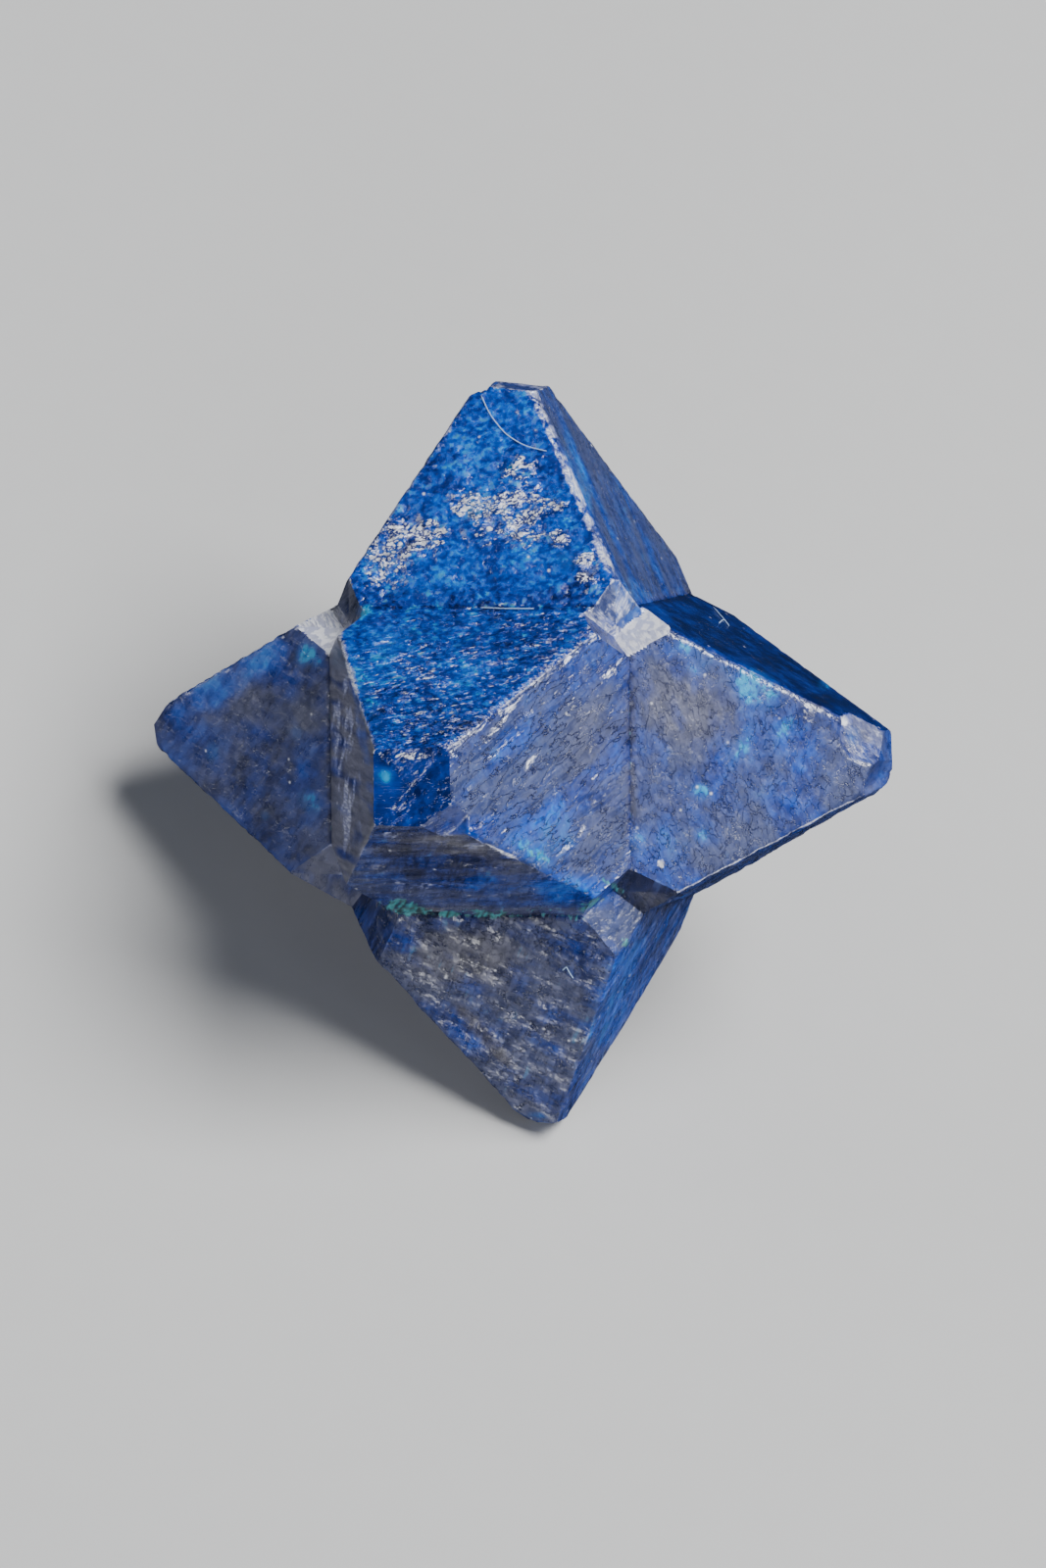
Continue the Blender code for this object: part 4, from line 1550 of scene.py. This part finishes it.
@dataclass
class CrystalLayers(Sketch):
    """The wired layers of the crystal's material: each coat is shares of colours laid in order."""

    finish: CrystalFinish

    def __post_init__(self) -> None:
        """Read the grain map, the place in mm and the shares, and place every pattern once."""
        self.grain = self.add("ShaderNodeUVMap", uv_map="grain").outputs[0]
        self.place = self.scaled(self.add("ShaderNodeTexCoord").outputs["Object"], 1 / MM)
        self.sheen_film, self.azure, self.shade, self.rough = self.shares("tones")
        self.cyan, self.crust, self.white, self.glint = self.shares("crust_wear_and_light")
        self.keen, self.creasing, self.mottle, _ = self.shares("relish")
        self.patch_tree, noise, plates = patch_group(), noise_group(), plate_group()
        self.found = {name: self.noise(noise, pattern) for name, pattern in PATTERNS.items()}
        for size, lean, tone in zip(self.finish.plates, ("lean", "small lean"), ("plates", "chips")):
            inputs = {"Place": self.grain, "Size": size, "Waver": self.finish.plate_waver}
            self.found[lean], self.found[tone] = self.placed(plates, inputs)
        for name in ("chips", "speck"):
            self.found[name] = self.math("ADD", self.times(self.off_middle(name), self.mottle), HALF)

    def shares(self, name: str) -> tuple[Socket, ...]:
        """The four shares that an attribute holds: its three colours and its alpha."""
        held = self.add("ShaderNodeAttribute", attribute_name=name).outputs
        return (*self.add("ShaderNodeSeparateColor", {0: held["Color"]}).outputs, held["Alpha"])

    def noise(self, tree: bpy.types.NodeTree, made: Pattern) -> Socket:
        """One pattern's noise, from 0 to 1.

        Args:
            tree: the noise's node group.
            made: the pattern.

        Returns:
            Its value.
        """
        place = self.grain if made.along_grain else self.place
        detail = self.line(self.mottle, (made.mottled, made.detail)) if made.mottled else made.detail
        sizes = {"Long": made.long, "Wide": made.wide, "Detail": detail, "Spread": made.spread}
        return self.placed(tree, {"Place": place, **sizes})[0]

    def off_middle(self, name: str) -> Socket:
        """A pattern less a half, so that it lies about 0."""
        return self.math("ADD", self.found[name], -HALF)

    def mix(self, mix: Mix) -> Socket:
        """The weighted sum of named patterns."""
        return self.weighted(*((self.found[name], weight) for name, weight in mix))

    def patches(self, value: Value, weight: Value, soft: float) -> Socket:
        """Patches of a value, over the share that the weight gives."""
        return self.placed(self.patch_tree, {"Noise": value, "Weight": weight, "Softness": soft})[0]

    def body(self) -> Socket:
        """The mottled blue: deep where the painted shade is, bright where azure, which is partly painted
        glow.

        Returns:
            The colour.
        """
        lift = self.weighted((self.azure, self.finish.azure_lift), (self.shade, self.finish.shade_lift))
        depth = self.math("ADD", self.mix(self.finish.body_mix), lift, clamp=True)
        node = self.add("ShaderNodeValToRGB", {0: depth})
        ramp = node.color_ramp.elements
        while len(ramp) < len(self.finish.body):
            ramp.new(1.0)
        for stop, (where, colour) in zip(ramp, self.finish.body):
            stop.position = where
            stop.color = rgba(colour)
        return node.outputs[0]

    def film_and_sheen(self) -> Coat:
        """The grey-lavender film with a painted sheen of reflected light, greyer where the painted shade
        share is high, and patchy where thick.

        Returns:
            Its share and colour.
        """
        finish = self.finish
        tone = self.mix(finish.sheen_film_mix)
        lavender_sheen_film = self.blend(tone, finish.sheen_film_thin, finish.sheen_film)
        grey_where_shaded = self.blend(tone, finish.shaded_grey_dark, finish.dust)
        film_and_sheen = self.blend(self.math("MULTIPLY", self.shade, finish.sheen_film_greying, clamp=True), lavender_sheen_film, grey_where_shaded)
        patchy = self.times(self.off_middle("film_and_sheen"), self.times(self.sheen_film, finish.sheen_film_patchy))
        cover = self.math("ADD", patchy, self.sheen_film, clamp=True)
        return ((self.math("MINIMUM", cover, finish.sheen_film_most), film_and_sheen),)

    def crease_shade(self) -> Coat:
        """Painted shade in crooked creases, here and there.

        Returns:
            Their share and colour.
        """
        finish = self.finish
        fine = self.math("ABSOLUTE", self.off_middle("creases"))
        crooked = self.math("SUBTRACT", 1.0, self.times(fine, finish.crease_width))
        lines = self.patches(crooked, finish.crease_weight, finish.crease_soft)
        places = self.line(self.found["creased places"], finish.crease_places)
        self.creases = self.times(self.times(lines, places), self.creasing)
        return ((self.creases, finish.body[1][1]),)

    def glow(self) -> Coat:
        """Painted glow from inside the crystal: clouds of light blue with cyan patches in them.

        Returns:
            The share and colour of the clouds, then of the patches.
        """
        finish = self.finish
        blotch = self.line(self.found["blotch"], finish.cloud_blotch)
        cloud = self.times(self.times(self.cyan, finish.cloud_share), blotch)
        weight = self.line(self.cyan, finish.cyan_weight)
        glow = self.patches(self.mix(finish.cyan_mix), weight, finish.cyan_soft)
        return ((cloud, finish.cloud), (self.times(glow, finish.cyan_share), finish.cyan))

    def encrust(self) -> Coat:
        """Crumbly green and turquoise crust.

        Returns:
            Its share and colour.
        """
        finish = self.finish
        self.crusted = self.patches(self.mix(finish.crust_mix), self.crust, finish.crust_soft)
        return ((self.crusted, self.blend(self.found["crumbs"], finish.crust_deep, finish.crust)),)

    def glint_paint(self) -> Coat:
        """Painted glints: clusters of small white patches like creased foil, with painted dark between them.

        Returns:
            The share and colour of the dark, then of the white.
        """
        finish = self.finish
        folds = self.math("ABSOLUTE", self.off_middle("glint_paint"))
        self.creased = self.line(folds, finish.glint_paint_creases, clamp=True)
        weight = self.times(self.glint, finish.glint_paint_weight)
        cluster = self.patches(self.mix(finish.glint_paint_mix), weight, finish.glint_paint_soft)
        dark = (self.times(cluster, finish.glint_paint_dark), finish.body[1][1])
        return (dark, (self.times(cluster, self.creased), finish.white))

    def wear_and_highlight(self) -> Coat:
        """Worn places with painted highlights: lavender where light and white where strong, with creased
        white strokes.

        Returns:
            The share and colour of the wear and highlights, then of the strokes.
        """
        finish = self.finish
        broken = self.patches(self.mix(finish.wear_highlight_mix), self.white, finish.wear_highlight_soft)
        worn = self.blend(self.times(self.white, self.white), finish.lavender, finish.white)
        strokes = self.line(self.white, finish.wear_highlight_strokes, clamp=True)
        lines = self.times(self.times(broken, self.creased), strokes)
        share = self.times(broken, self.line(self.white, finish.wear_highlight_share))
        return ((share, worn), (lines, finish.white))

    def dust(self) -> Coat:
        """Scattered white dots."""
        dots = self.placed(dust_group(), {"Place": self.place, **dict(self.finish.dots)})[0]
        return ((self.times(dots, self.finish.dots_share), self.finish.white),)

    def roughness(self) -> Socket:
        """The side's own roughness, more on crust, uneven by chips and specks.

        Returns:
            The roughness.
        """
        uneven = self.weighted(
            (self.rough, 1.0),
            (self.crusted, self.finish.rough_crust),
            (self.off_middle("chips"), self.finish.rough_chips),
            (self.off_middle("speck"), self.finish.rough_speck),
        )
        return self.math("MAXIMUM", uneven, self.finish.smoothest)

    def height(self) -> Socket:
        """The height of the fine relief: leaning plates and streaks, specks and creases.

        Returns:
            The height, in units of the bump's distance.
        """
        return self.weighted(
            (self.times(self.keen, self.finish.plate_height), self.mix(self.finish.height_mix)),
            (self.found["speck"], self.finish.speck_height),
            (self.creases, self.finish.crease_height),
        )


def new_material(name: str) -> tuple[bpy.types.Material, Sketch, bpy.types.Node]:
    """A new material with its sketch and its shader."""
    made = bpy.data.materials.new(name)
    made.use_nodes = True
    return made, Sketch(made.node_tree), made.node_tree.nodes["Principled BSDF"]


@dataclass(frozen=True)
class PlainFinish:
    """One matt colour, with a fine grain of a darker tone where its scale is above 0."""

    name: str
    colour: Colour
    rough: float
    grain_scale: float = 0.0
    grain_detail: float = 3.0
    grain_dark: float = 0.97

    def material(self) -> bpy.types.Material:
        """Make the material.

        Returns:
            The finished material.
        """
        made, sketch, shader = new_material(self.name)
        colour = rgba(self.colour)
        if self.grain_scale:
            place = sketch.add("ShaderNodeTexCoord").outputs["Object"]
            inputs = {"Vector": place, "Scale": self.grain_scale, "Detail": self.grain_detail}
            noise = sketch.add("ShaderNodeTexNoise", inputs).outputs[0]
            colour = sketch.blend(noise, tuple(c * self.grain_dark for c in self.colour), self.colour)
        sketch.feed(shader, {"Base Color": colour, "Roughness": self.rough})
        return made


FLOOR_FINISH = PlainFinish("pale_floor", (0.62, 0.62, 0.61), 0.9, 900.0)
HAIR_FINISH = PlainFinish("pale_hair", (0.46, 0.64, 0.90), 0.5)


@dataclass(frozen=True)
class Softbox:
    """A soft lamp: the way to it in the camera's right, up and towards, its distance and size in mm."""

    way: Triple
    distance: float
    size: Pair
    power: float
    colour: Colour = (1.0, 1.0, 1.0)


LAMPS: dict[str, Softbox] = {
    "key_above": Softbox((0.55, 0.50, 0.67), 300, (160, 160), 1.45),
    "fill_low": Softbox((0.10, -0.72, 0.80), 320, (180, 140), 0.42),
    "fill_left": Softbox((-0.96, 0.38, 0.04), 320, (140, 140), 0.36),
    "veil_right": Softbox((1.0, -0.05, 0.0), 220, (150, 110), 0.040, (0.88, 0.92, 1.0)),
    "veil_front_right": Softbox((0.50, -0.12, 0.85), 300, (90, 90), 0.020, (0.88, 0.92, 1.0)),
}


@dataclass
class Studio:
    """The pale floor, the soft lamps, the even surroundings and the camera, round the star."""

    star: Star
    floor_half: float = 3.0
    air: float = 0.06
    air_colour: Colour = (0.34, 0.54, 1.0)
    sensor: float = 36.0
    nearest: float = 0.01

    def turn(self) -> np.ndarray:
        """Columns are the camera's right, up and towards in the world."""
        return self.star.turn() @ self.star.view.axes().T

    def floor(self) -> None:
        """A plain pale floor, unseen in reflections."""
        half = self.floor_half
        points = np.array([(-half, -half, 0), (half, -half, 0), (half, half, 0), (-half, half, 0)])
        mesh = triangle_mesh("studio_floor", points, np.array([(0, 1, 2), (0, 2, 3)]))
        mesh.materials.append(FLOOR_FINISH.material())
        floor = shown("studio_floor", mesh)
        floor.visible_glossy = False

    def lamps(self) -> None:
        """Area lamps round the star, each looking at its middle."""
        middle = Vector(self.star.world(np.zeros(3)))
        for name, box in LAMPS.items():
            lamp = bpy.data.lights.new(name, "AREA")
            lamp.shape = "RECTANGLE"
            lamp.size, lamp.size_y = (side * MM for side in box.size)
            lamp.energy = box.power
            lamp.color = box.colour
            way = Vector(self.turn() @ np.array(box.way)).normalized()
            facing = way.to_track_quat("Z", "Y").to_matrix().to_4x4()
            shown(name, lamp).matrix_world = Matrix.Translation(middle + way * box.distance * MM) @ facing

    def surroundings(self) -> None:
        """An even pale blue glow all round."""
        world = bpy.data.worlds.new("studio_air")
        world.use_nodes = True
        glow = {"Color": rgba(self.air_colour), "Strength": self.air}
        Sketch(world.node_tree).feed(world.node_tree.nodes["Background"], glow)
        bpy.context.scene.world = world

    def camera(self) -> None:
        """The camera at the photograph's viewing angle and distance."""
        view = self.star.view
        made = bpy.data.cameras.new("camera")
        made.sensor_width = self.sensor
        made.lens = view.focal / view.height * self.sensor
        made.clip_start = self.nearest
        held = shown("camera", made)
        turn = Matrix(self.turn().tolist()).to_4x4()
        held.matrix_world = Matrix.Translation(Vector(self.star.world(view.place()))) @ turn
        bpy.context.scene.camera = held

    def build(self) -> None:
        """Set up the floor, the lamps, the surroundings and the camera."""
        for part in (self.floor, self.lamps, self.surroundings, self.camera):
            part()


@dataclass(frozen=True)
class Fibre:
    """A hair of dust lying on a side: the points it passes, in photograph pixels, and its side."""

    path: tuple[Pair, ...]
    side: Side


FIBRES: tuple[Fibre, ...] = (
    Fibre(((491, 404), (500, 424), (516, 444), (536, 456), (558, 461)), ("up", "front")),
    Fibre(((490, 621), (517, 622), (545, 622)), ("front", "up")),
    Fibre(((727, 620), (741, 636), (744, 641), (738, 632), (733, 637)), ("right", "up")),
    Fibre(((574, 990), (578, 986), (581, 992), (585, 998)), ("down", "front")),
)


@dataclass
class Lint:
    """Hairs of dust that stick to the crystal, as bent rods with rounded ends.

    A rod's end is narrower by the taper, and its middle line lies lifted by a share of its radius.
    """

    star: Star
    radius: float = 0.014
    taper: float = 0.4
    lift: float = 1.5
    ring: int = 6
    steps: int = 24
    rounds: int = 3

    def ground(self, fibre: Fibre) -> np.ndarray:
        """Where the photograph's points of a fibre lie on its side.

        Each pixel's sight line is followed from the camera to the side's plane, and then the curve
        through the points is cut into short steps and its bends are rounded: each inner point moves
        to the mean of itself and its neighbours, a few times over.

        Args:
            fibre: the hair.

        Returns:
            Points along it in the star's axes, in mm.
        """
        view, star = self.star.view, self.star
        normal, start = star.side_frame(*fibre.side)[2], view.place()
        offset = normal @ star.apex(fibre.side[0])
        column, row = (np.array(fibre.path) - view.middle).T / view.focal
        ways = np.stack([column, -row, np.full_like(row, -1.0)], axis=-1) @ view.axes()
        points = start + ways * ((offset - normal @ start) / (ways @ normal))[:, None]
        at = np.linspace(0, len(points) - 1, self.steps)
        line = np.stack([np.interp(at, np.arange(len(points)), column) for column in points.T], axis=-1)
        line = line + normal * self.radius * self.lift
        for _ in range(self.rounds):
            line[1:-1] = (line[:-2] + line[1:-1] + line[2:]) / 3
        return line

    def rod(self, line: np.ndarray, normal: np.ndarray) -> tuple[np.ndarray, np.ndarray]:
        """A closed rod round a line: rings square to it, and a cap of triangles at each end.

        Args:
            line: points along the rod, in mm.
            normal: the outward direction of the side under it.

        Returns:
            The rod's points, and three point numbers a triangle.
        """
        ways = unit(np.gradient(line, axis=0), rows=True)
        aside = unit(np.cross(normal, ways), rows=True)
        raised = np.cross(ways, aside)
        angle = np.arange(self.ring) * 2 * np.pi / self.ring
        width = self.radius * np.where(np.arange(len(line)) % (len(line) - 1) == 0, self.taper, 1.0)
        circle = aside[:, None] * np.cos(angle)[:, None] + raised[:, None] * np.sin(angle)[:, None]
        rings = line[:, None] + circle * width[:, None, None]
        points = np.concatenate([rings.reshape(-1, 3), line[:1], line[-1:]])
        end = (len(line) - 1) * self.ring
        at, side = np.arange(end), np.arange(self.ring)
        after, next_at = (side + 1) % self.ring, at - at % self.ring + (at + 1) % self.ring
        first, last = np.full(self.ring, len(points) - 2), np.full(self.ring, len(points) - 1)
        faces = (
            (at, next_at, at + self.ring),
            (next_at, next_at + self.ring, at + self.ring),
            (first, after, side),
            (last, end + side, end + after),
        )
        return points, np.concatenate([np.stack(corners, axis=-1) for corners in faces])

    def build(self) -> bpy.types.Object:
        """Make all the hairs in one piece.

        Returns:
            The finished object, standing at the origin.
        """
        points, faces, count = [], [], 0
        for fibre in FIBRES:
            rod, corners = self.rod(self.ground(fibre), self.star.side_frame(*fibre.side)[2])
            points.append(rod)
            faces.append(corners + count)
            count += len(rod)
        mesh = triangle_mesh("dust_hairs", self.star.world(np.concatenate(points)), np.concatenate(faces))
        mesh.materials.append(HAIR_FINISH.material())
        LOG.info("dust hairs: %d triangles", len(mesh.polygons))
        return shown("dust_hairs", mesh)


def main() -> None:
    """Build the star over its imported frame, dress it, and set the studio round it."""
    logging.basicConfig(level=logging.INFO, format="%(name)s: %(message)s")
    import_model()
    star = Star()
    piece = CrystalSkin(star).build()
    piece.data.materials.append(CrystalFinish().material())
    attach(piece, BODY)
    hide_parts(NODE)
    hairs = Lint(star).build()
    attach(hairs, BODY)
    Studio(star).build()


if __name__ == "__main__":
    main()
